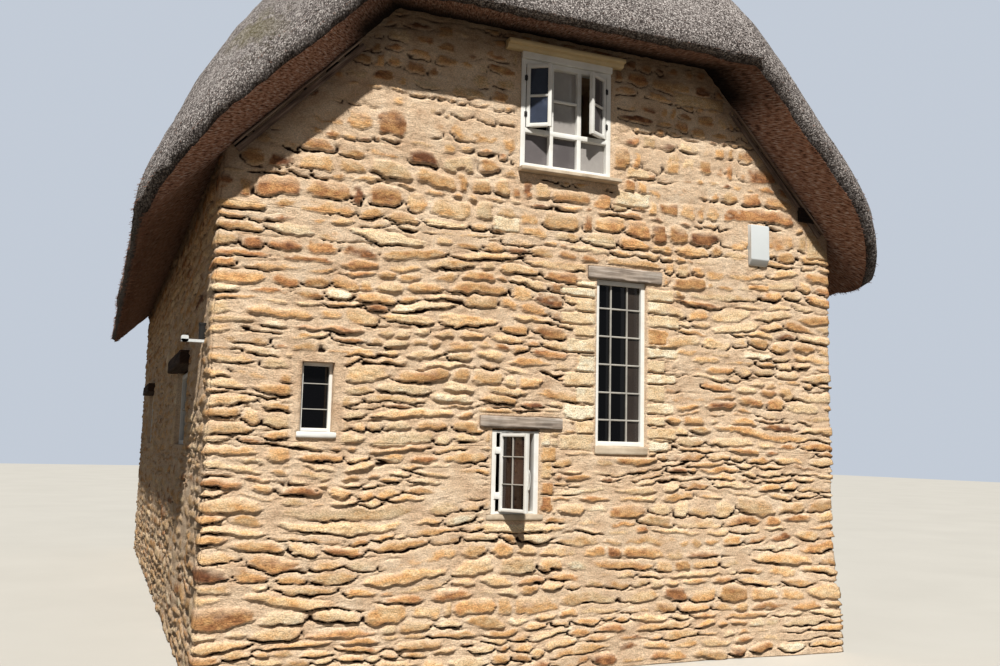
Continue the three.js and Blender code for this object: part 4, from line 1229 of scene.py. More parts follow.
def plug(tree, inputs, feeds):
    """Gives each input its value, or a link where the value is another node's output."""
    for key, value in feeds.items():
        if isinstance(value, bpy.types.NodeSocket):
            tree.links.new(value, inputs[key])
        else:
            inputs[key].default_value = value


def add_node(tree, kind, feeds=None, **settings):
    """A node of a kind with its settings; feeds gives values or other nodes' outputs to its inputs."""
    node = tree.nodes.new(kind)
    for name, value in settings.items():
        setattr(node, name, value)
    plug(tree, node.inputs, feeds or {})
    return node


def ramp(tree, factor, *stops):
    """A colour ramp through stops of (place, colour)."""
    node = add_node(tree, "ShaderNodeValToRGB", {"Fac": factor})
    elements = node.color_ramp.elements
    elements[0].position, elements[0].color = stops[0][0], (*stops[0][1], 1)
    elements[1].position, elements[1].color = stops[-1][0], (*stops[-1][1], 1)
    for place, colour in stops[1:-1]:
        elements.new(place).color = (*colour, 1)
    return node.outputs["Color"]


def maths(operation):
    """A function that joins two values in a tree by an operation."""
    def joined(tree, a, b):
        return add_node(tree, "ShaderNodeMath", {0: a, 1: b}, operation=operation).outputs[0]
    return joined


plus, minus, times = maths("ADD"), maths("SUBTRACT"), maths("MULTIPLY")


def ranged(tree, value, low, high, to_low=0.0, to_high=1.0):
    """A value's range low to high laid over another range, clamped and eased."""
    feeds = {"Value": value, "From Min": low, "From Max": high, "To Min": to_low, "To Max": to_high}
    return add_node(tree, "ShaderNodeMapRange", feeds, interpolation_type="SMOOTHSTEP").outputs["Result"]


def mixed(tree, factor, a, b, blend="MIX"):
    """Two colours mixed by a factor."""
    a, b = (c if isinstance(c, bpy.types.NodeSocket) else (*c, 1) for c in (a, b))
    feeds = {0: factor, 6: a, 7: b}
    return add_node(tree, "ShaderNodeMix", feeds, data_type="RGBA", blend_type=blend).outputs[2]


def mixed_value(tree, factor, a, b):
    """Two values mixed by a factor."""
    return add_node(tree, "ShaderNodeMix", {0: factor, 2: a, 3: b}, data_type="FLOAT").outputs[0]


def toned(tree, colour, level):
    """A colour made lighter or darker by a factor."""
    grey = add_node(tree, "ShaderNodeCombineColor", {0: level, 1: level, 2: level}).outputs[0]
    return mixed(tree, 1.0, colour, grey, "MULTIPLY")


def noise_of(tree, vector, scale, detail, rough):
    """Layered noise over a vector, from 0 to 1."""
    feeds = {"Vector": vector, "Scale": scale, "Detail": detail, "Roughness": rough}
    return add_node(tree, "ShaderNodeTexNoise", feeds).outputs["Fac"]


def stretched(tree, vector, scale):
    """A vector with each coordinate multiplied by its own factor."""
    return add_node(tree, "ShaderNodeMapping", {"Vector": vector, "Scale": scale}).outputs["Vector"]


def scaled(tree, vector, factor):
    """A vector multiplied by one factor."""
    return add_node(tree, "ShaderNodeVectorMath", {0: vector, 3: factor}, operation="SCALE").outputs[0]


def axis_of(tree, vector, axis):
    """One coordinate of a vector."""
    return add_node(tree, "ShaderNodeSeparateXYZ", {0: vector}).outputs[axis]


def mark_of(tree, name):
    """A piece's own mark of that name, as a value."""
    return add_node(tree, "ShaderNodeAttribute", attribute_name=name).outputs["Fac"]


def flow_of(tree):
    """A piece's own distances along and across, in metres."""
    return add_node(tree, "ShaderNodeUVMap", uv_map="metres").outputs["UV"]


def new_group(name, **numbers):
    """A shader node group that takes a vector and named numbers; returns its tree and what it is given."""
    tree = bpy.data.node_groups.new(name, "ShaderNodeTree")
    tree.interface.new_socket("Vector", in_out="INPUT", socket_type="NodeSocketVector")
    for label, default in numbers.items():
        socket = tree.interface.new_socket(label, in_out="INPUT", socket_type="NodeSocketFloat")
        socket.default_value = default
    return tree, tree.nodes.new("NodeGroupInput").outputs


def put_out(tree, **values):
    """Gives a group an output for each named value."""
    for label in values:
        tree.interface.new_socket(label, in_out="OUTPUT", socket_type="NodeSocketFloat")
    plug(tree, tree.nodes.new("NodeGroupOutput").inputs, values)
    return tree


def grain_group():
    """Granular surface: fine noise over coarse, and round pits where a cell distance is small."""
    tree, given = new_group("Granular surface", Scale=60.0)
    vector, scale = given["Vector"], given["Scale"]
    fine = noise_of(tree, vector, scale, 5.0, 0.65)
    coarse = noise_of(tree, vector, times(tree, scale, 0.18), 4.0, 0.6)
    cells = add_node(tree, "ShaderNodeTexVoronoi", {"Vector": vector, "Scale": times(tree, scale, 0.9)})
    pits = ranged(tree, cells.outputs["Distance"], 0.22, 0.08)
    return put_out(tree, Grain=fine, Pits=pits, Coarse=coarse)


def patch_group():
    """Patches: a broken noise cut at a level, as stains, moss or lichen lie."""
    tree, given = new_group("Patches", Scale=2.0, Cover=0.5, Softness=0.1)
    broad = noise_of(tree, given["Vector"], given["Scale"], 6.0, 0.62)
    level = minus(tree, 1.0, given["Cover"])
    return put_out(tree, Mask=ranged(tree, broad, level, plus(tree, level, given["Softness"])))


def dust_group():
    """Settled dust: how far the surface faces up, broken by noise."""
    tree, given = new_group("Settled dust", Scale=12.0, Amount=0.5)
    up = axis_of(tree, add_node(tree, "ShaderNodeNewGeometry").outputs["Normal"], "Z")
    broken = noise_of(tree, given["Vector"], given["Scale"], 4.0, 0.6)
    lifted = times(tree, ranged(tree, up, 0.1, 0.85), ranged(tree, broken, 0.3, 0.65))
    return put_out(tree, Mask=times(tree, lifted, given["Amount"]))


def timber_group():
    """Weathered timber along the first coordinate: stretched figure, dark cracks and a height for relief."""
    tree, given = new_group("Timber grain", Fineness=1.0)
    vector = scaled(tree, given["Vector"], given["Fineness"])
    figure = noise_of(tree, stretched(tree, vector, (2.2, 42, 42)), 1.0, 5.0, 0.62)
    lines = noise_of(tree, stretched(tree, vector, (1.3, 85, 85)), 1.0, 2.0, 0.5)
    cracks = ranged(tree, lines, 0.36, 0.28)
    return put_out(tree, Figure=figure, Cracks=cracks, Height=minus(tree, figure, times(tree, cracks, 0.9)))


def straw_group():
    """Straw: lines along the second coordinate, and cut ends as small cells with a mask of the spaces between
    them, which the thatch darkens as painted shade.
    """
    tree, given = new_group("Straw", Fineness=1.0)
    vector = scaled(tree, given["Vector"], given["Fineness"])
    lines = noise_of(tree, stretched(tree, vector, (95, 7, 40)), 1.0, 3.0, 0.6)
    feeds = {"Vector": stretched(tree, vector, (92, 84, 80)), "Scale": 1.0, "Randomness": 1.0}
    cell = add_node(tree, "ShaderNodeTexVoronoi", feeds)
    ends = add_node(tree, "ShaderNodeSeparateColor", {0: cell.outputs["Color"]}).outputs[0]
    gaps_and_shade = ranged(tree, cell.outputs["Distance"], 0.42, 0.72)
    return put_out(tree, Lines=lines, Ends=ends, Gaps=gaps_and_shade)


GROUP_MAKERS = {"grain": grain_group, "patches": patch_group, "dust": dust_group,
                "timber": timber_group, "straw": straw_group}
GROUPS = {}


def use_group(tree, name, vector, **numbers):
    """The outputs of the shared node group of that name, which is built on first use."""
    if name not in GROUPS:
        GROUPS[name] = GROUP_MAKERS[name]()
    feeds = {"Vector": vector, **numbers}
    return add_node(tree, "ShaderNodeGroup", feeds, node_tree=GROUPS[name]).outputs


def new_finish(name):
    """A new material: returns it, its tree and Object coordinates."""
    material = bpy.data.materials.new(name)
    material.use_nodes = True
    tree = material.node_tree
    return material, tree, add_node(tree, "ShaderNodeTexCoord").outputs["Object"]


def finished(material, body, rough, height, distance, **more):
    """Gives a material's shader its colour, roughness and fine relief, a height whose full range is a
    distance in metres, and more values by the names of their sockets."""
    tree = material.node_tree
    bump = add_node(tree, "ShaderNodeBump", {"Height": height, "Distance": distance})
    feeds = {"Base Color": body, "Roughness": rough, "Normal": bump.outputs["Normal"]}
    feeds.update({name.replace("_", " "): value for name, value in more.items()})
    plug(tree, tree.nodes["Principled BSDF"].inputs, feeds)
    return material


def rubble_finish(tones):
    """Ironstone rubble in lime mortar: each stone's own tone through a ramp, specks and pits, pale mortar,
    dark open joints that also carry painted shade under the stones' ledges, and painted shade under the
    thatch."""
    material, tree, place = new_finish("rubble_stonework")
    marks = add_node(tree, "ShaderNodeAttribute", attribute_name="wall")
    share, tone, shade = add_node(tree, "ShaderNodeSeparateColor", {0: marks.outputs["Color"]}).outputs
    hollow_and_shade = marks.outputs["Alpha"]
    bedded = stretched(tree, place, (1, 1, 1.7))
    grain = use_group(tree, "grain", bedded, Scale=75.0)
    blotch = noise_of(tree, bedded, 10.0, 5.0, 0.65)
    shifted = plus(tree, tone, times(tree, minus(tree, blotch, 0.5), 1.1))
    stone = ramp(tree, shifted, (0.0, tones.dark_stone), (0.2, tones.rust_stone), (0.42, tones.ochre_stone),
                 (0.66, tones.tan_stone), (0.9, tones.pale_stone), (1.0, tones.white_stone))
    speck = ranged(tree, grain["Grain"], 0.25, 0.75, 0.56, 1.38)
    stone = toned(tree, stone, times(tree, ranged(tree, shade, 0.0, 1.0, 0.8, 1.14), speck))
    stone = mixed(tree, times(tree, grain["Pits"], 0.4), stone, tones.dark_stone)
    mortar = ramp(tree, noise_of(tree, place, 5.0, 6.0, 0.7),
                  (0.3, tones.mortar_dark), (0.5, tones.mortar), (0.72, tones.mortar_pale))
    mortar = toned(tree, mortar, ranged(tree, grain["Grain"], 0.25, 0.75, 0.66, 1.26))
    body = mixed(tree, share, mortar, stone)
    # Open joints: dark earth, darkened further as painted shade under the stones' ledges
    body = mixed(tree, ranged(tree, hollow_and_shade, 0.16, 0.62), body, tones.joint_and_shade_dark)
    body = mixed(tree, times(tree, mark_of(tree, "shaded"), 0.6), body, darker(tones.dark_stone, 0.3))
    height = plus(tree, times(tree, grain["Coarse"], 1.6), grain["Grain"])
    height = minus(tree, height, times(tree, grain["Pits"], 0.5))
    return finished(material, body, 0.92, height, 0.009, Specular_IOR_Level=0.2)


def core_finish(tones):
    """Lime plaster over the wall's core and reveals."""
    material, tree, place = new_finish("lime_plaster")
    grain = use_group(tree, "grain", place, Scale=40.0)
    body = ramp(tree, grain["Coarse"],
                (0.3, tones.mortar_dark), (0.55, tones.mortar), (0.75, tones.mortar_pale))
    return finished(material, body, 0.95, grain["Grain"], 0.003, Specular_IOR_Level=0.2)


MOSS_AT = (-2.62, -5.1, 4.55)
MOSS_REACH = 0.5


def thatch_finish(tones):
    """Weathered thatch: an even stipple of cut ends with painted shade in the spaces between them, some straw
    lines up the slopes, moss round the front left corner, and a ragged band of painted shade along the edge."""
    material, tree, place = new_finish("weathered_thatch")
    straw = use_group(tree, "straw", flow_of(tree), Fineness=1.0)
    edge = mark_of(tree, "edge")
    broad = noise_of(tree, place, 2.4, 6.0, 0.65)
    broken = noise_of(tree, place, 34.0, 4.0, 0.75)
    ends = plus(tree, times(tree, straw["Ends"], 0.6), times(tree, broken, 0.5))
    level = mixed_value(tree, 0.16, ends, straw["Lines"])
    level = plus(tree, level, times(tree, minus(tree, broad, 0.5), 0.3))
    body = ramp(tree, level, (0.22, tones.thatch_dark_and_shade), (0.4, tones.thatch_brown),
                (0.58, tones.thatch_grey), (0.82, tones.thatch_pale))
    # Painted shade between the cut ends, stronger near the edge
    gaps_and_shade = times(tree, straw["Gaps"], ranged(tree, edge, 0.0, 1.0, 0.42, 0.62))
    body = mixed(tree, gaps_and_shade, body, tones.thatch_dark_and_shade)
    near = add_node(tree, "ShaderNodeVectorMath", {0: place, 1: MOSS_AT}, operation="DISTANCE")
    near = ranged(tree, near.outputs["Value"], MOSS_REACH, 0.0, 0.0, 0.9)
    moss = use_group(tree, "patches", place, Scale=6.0, Cover=0.56, Softness=0.12)
    body = mixed(tree, times(tree, moss["Mask"], near), body, tones.moss)
    # Painted shade along the arris
    body = mixed(tree, times(tree, mark_of(tree, "fringe_shade"), 0.85), body, tones.thatch_dark_and_shade)
    height = minus(tree, plus(tree, ends, times(tree, broken, 0.5)), gaps_and_shade)
    return finished(material, body, 0.95, height, 0.016, Specular_IOR_Level=0.15)


def soffit_finish(tones):
    """The thatch's underside: dark straw lines, with painted shade where it lies high under the hips, deeper
    the farther in from the edge; lower down its colour is 1.2 times lighter.
    """
    material, tree, place = new_finish("straw_soffit")
    flow = flow_of(tree)
    straw = use_group(tree, "straw", stretched(tree, flow, (0.8, 2.4, 1)), Fineness=1.0)
    body = ramp(tree, straw["Lines"],
                (0.32, tones.soffit_dark), (0.52, tones.soffit_brown), (0.7, tones.thatch_grey))
    # Painted shade: from z 4.45 to 4.7 up, the soffit darkens, the more the farther in from the edge
    deep = ranged(tree, axis_of(tree, flow, "Y"), -0.4, -0.05, 0.04, 0.7)
    high_up = ranged(tree, axis_of(tree, place, "Z"), 4.45, 4.7)
    body = toned(tree, body, mixed_value(tree, high_up, 1.2, deep))
    return finished(material, body, 0.95, straw["Lines"], 0.012, Specular_IOR_Level=0.2)


def plain_finish(name, low, high, scale, roughness, bump, dust=None, rough_span=0.0):
    """A two-tone surface broken by noise; with dust, some lies where it faces up and some in worn patches."""
    material, tree, place = new_finish(name)
    grain = use_group(tree, "grain", place, Scale=scale)
    body = ramp(tree, grain["Coarse"], (0.3, low), (0.7, high))
    if dust:
        lying_dust = use_group(tree, "dust", place, Scale=9.0, Amount=0.35)
        body = mixed(tree, lying_dust["Mask"], body, dust)
        worn = use_group(tree, "patches", place, Scale=14.0, Cover=0.36, Softness=0.14)
        body = mixed(tree, times(tree, worn["Mask"], 0.18), body, dust)
    level = ranged(tree, grain["Grain"], 0.3, 0.7, roughness - rough_span, roughness + rough_span)
    return finished(material, body, level, grain["Grain"], bump)


def timber_finish(name, dark, middle, pale):
    """Weathered timber: figure along the piece, dark cracks, and paler tones where it has bleached."""
    material, tree, place = new_finish(name)
    wood = use_group(tree, "timber", flow_of(tree), Fineness=1.0)
    body = ramp(tree, wood["Figure"], (0.28, dark), (0.5, middle), (0.72, pale))
    body = toned(tree, body, ranged(tree, noise_of(tree, place, 6.0, 4.0, 0.6), 0.3, 0.7, 0.75, 1.2))
    body = toned(tree, body, ranged(tree, mark_of(tree, "piece"), 0.0, 1.0, 0.82, 1.14))
    body = mixed(tree, wood["Cracks"], body, darker(dark, 0.12))
    return finished(material, body, 0.88, wood["Height"], 0.006, Specular_IOR_Level=0.25)


def board_finish(name, dark, pale, width, along_x):
    """Floor boards or flags: a brick pattern on the floor's own plan, each with its tone, and dark joints."""
    material, tree, place = new_finish(name)
    turn = 0 if along_x else QUARTER
    plan = add_node(tree, "ShaderNodeMapping", {"Vector": place, "Rotation": (0, 0, turn)}).outputs["Vector"]
    brick = add_node(tree, "ShaderNodeTexBrick", {
        "Vector": plan, "Color1": (*dark, 1), "Color2": (*pale, 1), "Mortar": (*darker(dark, 0.15), 1),
        "Scale": 1.0, "Mortar Size": 0.004, "Brick Width": width * 3, "Row Height": width})
    grain = use_group(tree, "grain", stretched(tree, plan, (0.2, 1, 1)), Scale=50.0)
    body = toned(tree, brick.outputs["Color"], ranged(tree, grain["Coarse"], 0.3, 0.7, 0.8, 1.15))
    height = minus(tree, grain["Grain"], times(tree, brick.outputs["Fac"], 2.0))
    return finished(material, body, 0.7, height, 0.003)


def glass_finish(name, painted_share, dark, middle, pale):
    """Old window glass: clear and faintly wavy. A share of each pane is painted: its tone, each pane's own,
    stands for what the pane mirrors and what shows through it, blotched where a surface layer lies thicker;
    the blotches also make it rougher."""
    material, tree, place = new_finish(name)
    film_and_reflection = use_group(tree, "patches", place, Scale=3.5, Cover=0.55, Softness=0.4)["Mask"]
    level = plus(tree, mark_of(tree, "piece"), times(tree, minus(tree, film_and_reflection, 0.5), 0.22))
    # Painted reflection: the pane's diffuse share shows this tone in place of what it mirrors and what lies
    # behind it
    body = ramp(tree, level, (0.1, dark), (0.5, middle), (0.9, pale))
    rough = ranged(tree, film_and_reflection, 0.0, 1.0, 0.02, 0.09)
    wavy = noise_of(tree, place, 5.0, 1.0, 0.4)
    return finished(material, body, rough, wavy, 0.002, Transmission_Weight=1.0 - painted_share, IOR=1.45)


def colour(name, description, value):
    """A colour that a user may change."""
    return bpy.props.FloatVectorProperty(
        name=name, description=description, subtype="COLOR", size=3, min=0.0, max=1.0, default=value)


def length(name, description, value):
    """A length that a user may change."""
    return bpy.props.FloatProperty(name=name, description=description, default=value, unit="LENGTH")


class CottageSizes(bpy.types.PropertyGroup):
    """Sizes of the parts that are built over the CAD frame."""

    course: length("Course height", "Middle height of a rubble course", 0.085)
    stone: length("Stone length", "Middle length of a rubble stone", 0.28)
    depth: length("Stone relief", "How far the stones stand out from the joints", 0.026)
    thatch_step: length("Thatch step", "Spacing of the thatch's surface points along its edge", 0.036)
    straws: bpy.props.IntProperty(
        name="Loose straws", description="How many loose straws stand out along the thatch's edge",
        default=5000)


class CottageTones(bpy.types.PropertyGroup):
    """Colours of the finishes."""

    dark_stone: colour("Dark stone", "Darkest red-brown ironstone", srgb(112, 72, 50))
    rust_stone: colour("Rust stone", "Rust-brown ironstone", srgb(178, 126, 84))
    ochre_stone: colour("Ochre stone", "Orange ochre stone", srgb(208, 162, 110))
    tan_stone: colour("Tan stone", "Golden tan stone", srgb(220, 190, 150))
    pale_stone: colour("Pale stone", "Pale cream stone", srgb(232, 210, 176))
    white_stone: colour("White stone", "Whitish stone", srgb(240, 228, 202))
    mortar_dark: colour("Mortar shade", "Darkest lime mortar", srgb(200, 168, 138))
    mortar: colour("Mortar", "Middle lime mortar", srgb(222, 195, 166))
    mortar_pale: colour("Mortar light", "Palest lime mortar", srgb(235, 214, 189))
    # Earth of the open joints, also used as painted shade along the stones' feet
    joint_and_shade_dark: colour("Open joint", "Earth in open joints", srgb(44, 28, 20))
    # Darkest straw tone, also the painted shade between the cut ends and along the edge
    thatch_dark_and_shade: colour("Thatch dark", "Gaps between straws", srgb(38, 33, 32))
    thatch_brown: colour("Thatch brown", "Weathered brown straw", srgb(130, 122, 120))
    thatch_grey: colour("Thatch grey", "Weathered grey straw", srgb(176, 168, 166))
    thatch_pale: colour("Thatch light", "Bleached straw", srgb(220, 214, 212))
    moss: colour("Moss", "Yellow-green moss", srgb(112, 106, 58))
    soffit_dark: colour("Soffit dark", "Shaded straw of the underside", srgb(36, 24, 20))
    soffit_brown: colour("Soffit brown", "Brown straw of the underside", srgb(146, 112, 98))
    grey_oak_dark: colour("Grey oak dark", "Cracked grey oak", srgb(100, 88, 80))
    grey_oak: colour("Grey oak", "Weathered grey oak", srgb(172, 158, 146))
    grey_oak_pale: colour("Grey oak light", "Bleached grey oak", srgb(216, 208, 200))
    verge_oak_dark: colour("Verge oak dark", "Cracks of the verge boards", srgb(70, 56, 50))
    verge_oak: colour("Verge oak", "Weathered verge boards", srgb(126, 106, 94))
    verge_oak_pale: colour("Verge oak light", "Bleached verge boards", srgb(176, 160, 146))
    # Near-black oak: painted shade behind the verge boards, and the dark block at the front right verge's
    # foot
    tarred_and_shade_dark: colour("Tarred oak dark", "Grain of tarred oak", srgb(16, 12, 10))
    tarred_and_shade: colour("Tarred oak", "Tarred oak behind the verges", srgb(28, 21, 18))
    tarred_and_shade_pale: colour("Tarred oak light", "Worn tarred oak", srgb(48, 38, 33))
    dark_oak_dark: colour("Dark oak dark", "Grain of dark oak", srgb(40, 30, 26))
    dark_oak: colour("Dark oak", "Dark stained oak", srgb(70, 54, 46))
    dark_oak_pale: colour("Dark oak light", "Worn dark oak", srgb(104, 86, 74))
    white_paint: colour("White paint", "Weathered white paint", srgb(238, 239, 238))
    white_shade: colour("White paint shade", "Dirtier white paint", srgb(224, 223, 218))
    # Grey of the thin bars: on the fixed windows it paints white bars in shade, on the low leaf it is the
    # leads' own grey
    lead_and_shaded_white: colour("Old white", "Greyed white of the thin bars", srgb(182, 179, 172))
    lead_and_shaded_white_dirt: colour("Old white shade", "Dirtier white of the thin bars", srgb(150, 147, 142))
    cream_paint: colour("Cream paint", "Cream hood paint", srgb(212, 192, 152))
    cream_shade: colour("Cream paint shade", "Dirtier cream paint", srgb(196, 174, 134))
    sill_stone: colour("Sill stone", "Pale stone of the sills", srgb(206, 191, 170))
    sill_shade: colour("Sill stone shade", "Stained stone of the sills", srgb(176, 158, 136))
    grime: colour("Grime", "Dust and grime that settle", srgb(150, 132, 108))
    # Glass tones are painted: the upper panes' blue, grey and pale stand for the reflected sky, and the
    # browns of the lower windows for what they mirror and what shows through them
    glass_reflection_dark: colour("Glass dark", "Darkest film on the glass", srgb(16, 16, 18))
    glass_reflection_blue: colour("Glass blue", "Blue film on the glass", srgb(72, 80, 100))
    glass_reflection_grey: colour("Glass grey", "Grey film on the glass", srgb(128, 122, 124))
    glass_reflection_pale: colour("Glass light", "Palest film on the glass", srgb(182, 178, 174))
    tall_reflection_and_view: colour("Tall glass", "Brown film on the fixed lights", srgb(50, 46, 46))
    tall_reflection_and_view_pale: colour("Tall glass light", "Palest film on the fixed lights", srgb(108, 95, 86))
    low_reflection_and_view_dark: colour("Low glass dark", "Darkest film on the low leaf", srgb(24, 14, 10))
    low_reflection_and_view: colour("Low glass", "Brown film on the low leaf", srgb(62, 44, 36))
    low_reflection_and_view_pale: colour("Low glass light", "Palest film on the low leaf", srgb(108, 84, 74))
    floor_board: colour("Floor board", "Floor boards", srgb(138, 106, 69))
    floor_board_dark: colour("Floor board dark", "Darker floor boards", srgb(104, 78, 50))
    flag: colour("Flag stone", "Flag stones of the ground floor", srgb(158, 146, 128))
    flag_dark: colour("Flag stone dark", "Darker flag stones", srgb(124, 112, 96))
    case: colour("Alarm case", "White plastic case", srgb(212, 218, 222))
    black: colour("Black metal", "Black painted metal", srgb(26, 24, 24))
    stage: colour("Stage", "Pale stage floor", srgb(196, 194, 189))
    stage_shade: colour("Stage shade", "Slightly darker stage floor", srgb(190, 188, 183))
    stage_shown: colour("Stage as seen", "Stage floor as the camera sees it", srgb(92, 84, 72))


FINE_STEP = (0.017, 0.0075)
COARSE_STEP = (0.040, 0.015)
WALL_SEED = 7
COURSES_TOP = 5.6


class COTTAGE_OT_stone_walls(bpy.types.Operator):
    """Builds the rubble faces of the four walls over their plastered cores"""

    bl_idname = "cottage.stone_walls"
    bl_label = "Stone walls"

    def execute(self, context):
        sizes, tones = context.scene.cottage_sizes, context.scene.cottage_tones
        finish, plaster = rubble_finish(tones), core_finish(tones)
        rubble = Rubble(WALL_SEED, sizes.course, sizes.stone, COURSES_TOP)
        blocks = squared_blocks()
        for side in WALLS:
            wall_core(side, plaster)
        for name, side, v0, v1, step in (
                ("front_stones_low", "front", 0.0, 1.66, FINE_STEP),
                ("front_stones_middle", "front", 1.66, 3.3, FINE_STEP),
                ("front_stones_top", "front", 3.3, HIP_TOP + TOP_LAP, FINE_STEP),
                ("rear_stones", "rear", 0.0, HIP_TOP + TOP_LAP, COARSE_STEP),
                ("left_stones", "left", 0.0, float(wall_top("left", 0.0)), COARSE_STEP),
                ("right_stones", "right", 0.0, float(wall_top("right", 0.0)), COARSE_STEP)):
            stone_skin(name, side, v0, v1, *step, rubble, blocks, sizes.depth, finish)
        return {"FINISHED"}


class COTTAGE_OT_thatch(bpy.types.Operator):
    """Builds the thatch's coat, its underside and the loose straws along its edge"""

    bl_idname = "cottage.thatch"
    bl_label = "Thatch"

    def execute(self, context):
        sizes, tones = context.scene.cottage_sizes, context.scene.cottage_tones
        top, under = thatch_finish(tones), soffit_finish(tones)
        grid, normals, last = thatch_pieces(sizes, top, under)
        straw_ends("loose_straws", grid, normals, last, sizes.straws, 3, under)
        ridge_piece(top)
        return {"FINISHED"}


LOOKS = {}


def looks_of(tones):
    """The finishes that several pieces share, made on first use."""
    if LOOKS:
        return LOOKS
    worn = {"dust": tones.grime, "rough_span": 0.08}
    case, black, film_and_reflection = tones.case, tones.black, tones.glass_reflection_dark
    LOOKS.update({
        "white": plain_finish("white_paint", tones.white_shade, tones.white_paint, 40.0, 0.5, 0.0008, **worn),
        "cream": plain_finish("cream_paint", tones.cream_shade, tones.cream_paint, 40.0, 0.6, 0.0012, **worn),
        "sill": plain_finish("sill_stone", tones.sill_shade, tones.sill_stone, 60.0, 0.85, 0.003),
        "case": plain_finish("case_plastic", darker(case, 0.93), case, 20.0, 0.4, 0.0002),
        "lead_and_shaded_white": plain_finish("lead_and_shaded_white", tones.lead_and_shaded_white_dirt, tones.lead_and_shaded_white, 40.0, 0.55, 0.0008),
        "black": plain_finish("black_metal", darker(black, 0.7), black, 60.0, 0.45, 0.0006),
        "grey_oak": timber_finish("grey_oak", tones.grey_oak_dark, tones.grey_oak, tones.grey_oak_pale),
        "verge_oak": timber_finish("verge_oak", tones.verge_oak_dark, tones.verge_oak, tones.verge_oak_pale),
        "tarred_and_shade": timber_finish("tarred_and_shade_oak", tones.tarred_and_shade_dark, tones.tarred_and_shade, tones.tarred_and_shade_pale),
        "dark_oak": timber_finish("dark_oak", tones.dark_oak_dark, tones.dark_oak, tones.dark_oak_pale),
        "glass": glass_finish("lower_glass", 0.4, film_and_reflection, tones.tall_reflection_and_view, tones.tall_reflection_and_view_pale),
        "low_glass": glass_finish("low_glass", 0.7, tones.low_reflection_and_view_dark, tones.low_reflection_and_view, tones.low_reflection_and_view_pale),
        "blue_reflection_glass": glass_finish("blue_reflection_glass", 0.85, film_and_reflection, tones.glass_reflection_blue, tones.glass_reflection_pale),
        "upper_glass": glass_finish("upper_glass", 0.85, film_and_reflection, tones.glass_reflection_grey, tones.glass_reflection_pale),
    })
    return LOOKS


class COTTAGE_OT_upper_windows(bpy.types.Operator):
    """Builds the upper windows of both gables, with their leaves, hinges, sills and hoods"""

    bl_idname = "cottage.upper_windows"
    bl_label = "Upper windows"

    def execute(self, context):
        looks = looks_of(context.scene.cottage_tones)
        # Each pane's tone picks its painted reflection, one by one
        upper_window("front_upper_window", "front", (33.0, 30.0), looks,
                     (0.5, 0.44, 0.86, 0.86, 0.92, 0.5, 0.44, 0.36, 0.42))
        upper_window("rear_upper_window", "rear", (0.0, 0.0), looks,
                     (0.46, 0.5, 0.44, 0.4, 0.5, 0.36, 0.4, 0.42, 0.38))
        return {"FINISHED"}


class COTTAGE_OT_lower_windows(bpy.types.Operator):
    """Builds the tall, low and small windows of the front and the windows of the side walls"""

    bl_idname = "cottage.lower_windows"
    bl_label = "Lower windows"

    def execute(self, context):
        looks = looks_of(context.scene.cottage_tones)
        fixed_window("front_tall_window", "front", TALL_U, TALL_V, 0.036, TALL_FACE, 0.06,
                     TALL_COLUMNS, TALL_ROWS, 0.014, looks, (0.02, 0.04, 0.8))
        fixed_window("front_small_window", "front", SMALL_U, SMALL_V, 0.024, SMALL_FACE, 0.05,
                     (), SMALL_ROWS, 0.007, looks, (0.1,))
        for name, side, way in (("left_front", "left", 1), ("left_rear", "left", -1),
                                ("right_front", "right", -1), ("right_rear", "right", 1)):
            u = sorted((SIDE_U[0] * way, SIDE_U[1] * way))
            fixed_window(name + "_window", side, u, SIDE_V, 0.04, SIDE_FACE, 0.055,
                         SIDE_COLUMNS, (0.5,), 0.02, looks, (0.12, 0.2, 0.16))
        low_window(looks)
        return {"FINISHED"}


class COTTAGE_OT_timber(bpy.types.Operator):
    """Builds the lintels, sills, verge boards and plank door, and finishes the floors"""

    bl_idname = "cottage.timber"
    bl_label = "Timber and sills"

    def execute(self, context):
        tones = context.scene.cottage_tones
        looks = looks_of(tones)
        lintels_and_sills(looks)
        verge_boards(looks)
        plank_door(looks)
        boards = board_finish("floor_boards", tones.floor_board_dark, tones.floor_board, 0.15, True)
        flags = board_finish("floor_flags", tones.flag_dark, tones.flag, 0.45, False)
        dressed("upper_floor", boards)
        dressed("ground_floor", flags)
        return {"FINISHED"}


class COTTAGE_OT_fittings(bpy.types.Operator):
    """Builds the alarm's case and the lamp by the corner"""

    bl_idname = "cottage.fittings"
    bl_label = "Fittings"

    def execute(self, context):
        looks = looks_of(context.scene.cottage_tones)
        alarm_case(looks)
        lamp(looks)
        return {"FINISHED"}


STAGE_HALF = 60.0
STAGE_LEVEL = -0.002
SKY = (0.80, 0.88, 1.0, 1)
SKY_LIGHT = 0.14
SKY_SEEN = 0.54
SUN_ANGLE = 1.2
FILL_SIZE = 9.0
# Each light: its name, kind, place, the place it points at, its strength and its tint
LIGHTS = (
    ("key_light", "SUN", (-3.0, -10.0, 13.0), (0, 0, 0), 5.5, (1.0, 0.96, 0.88)),
    ("fill_light", "AREA", (12.0, -13.0, 6.0), (0, -4.0, 2.5), 60.0, (1.0, 0.97, 0.93)),
)
# Camera: its place, its yaw, pitch and roll in degrees, and its film width and lens in millimetres
EYE = (-3.271, -11.5, 1.64)
EYE_TURNS = (22.454, 6.840, 1.288)
FILM_WIDTH = 36.0
LENS = 34.886


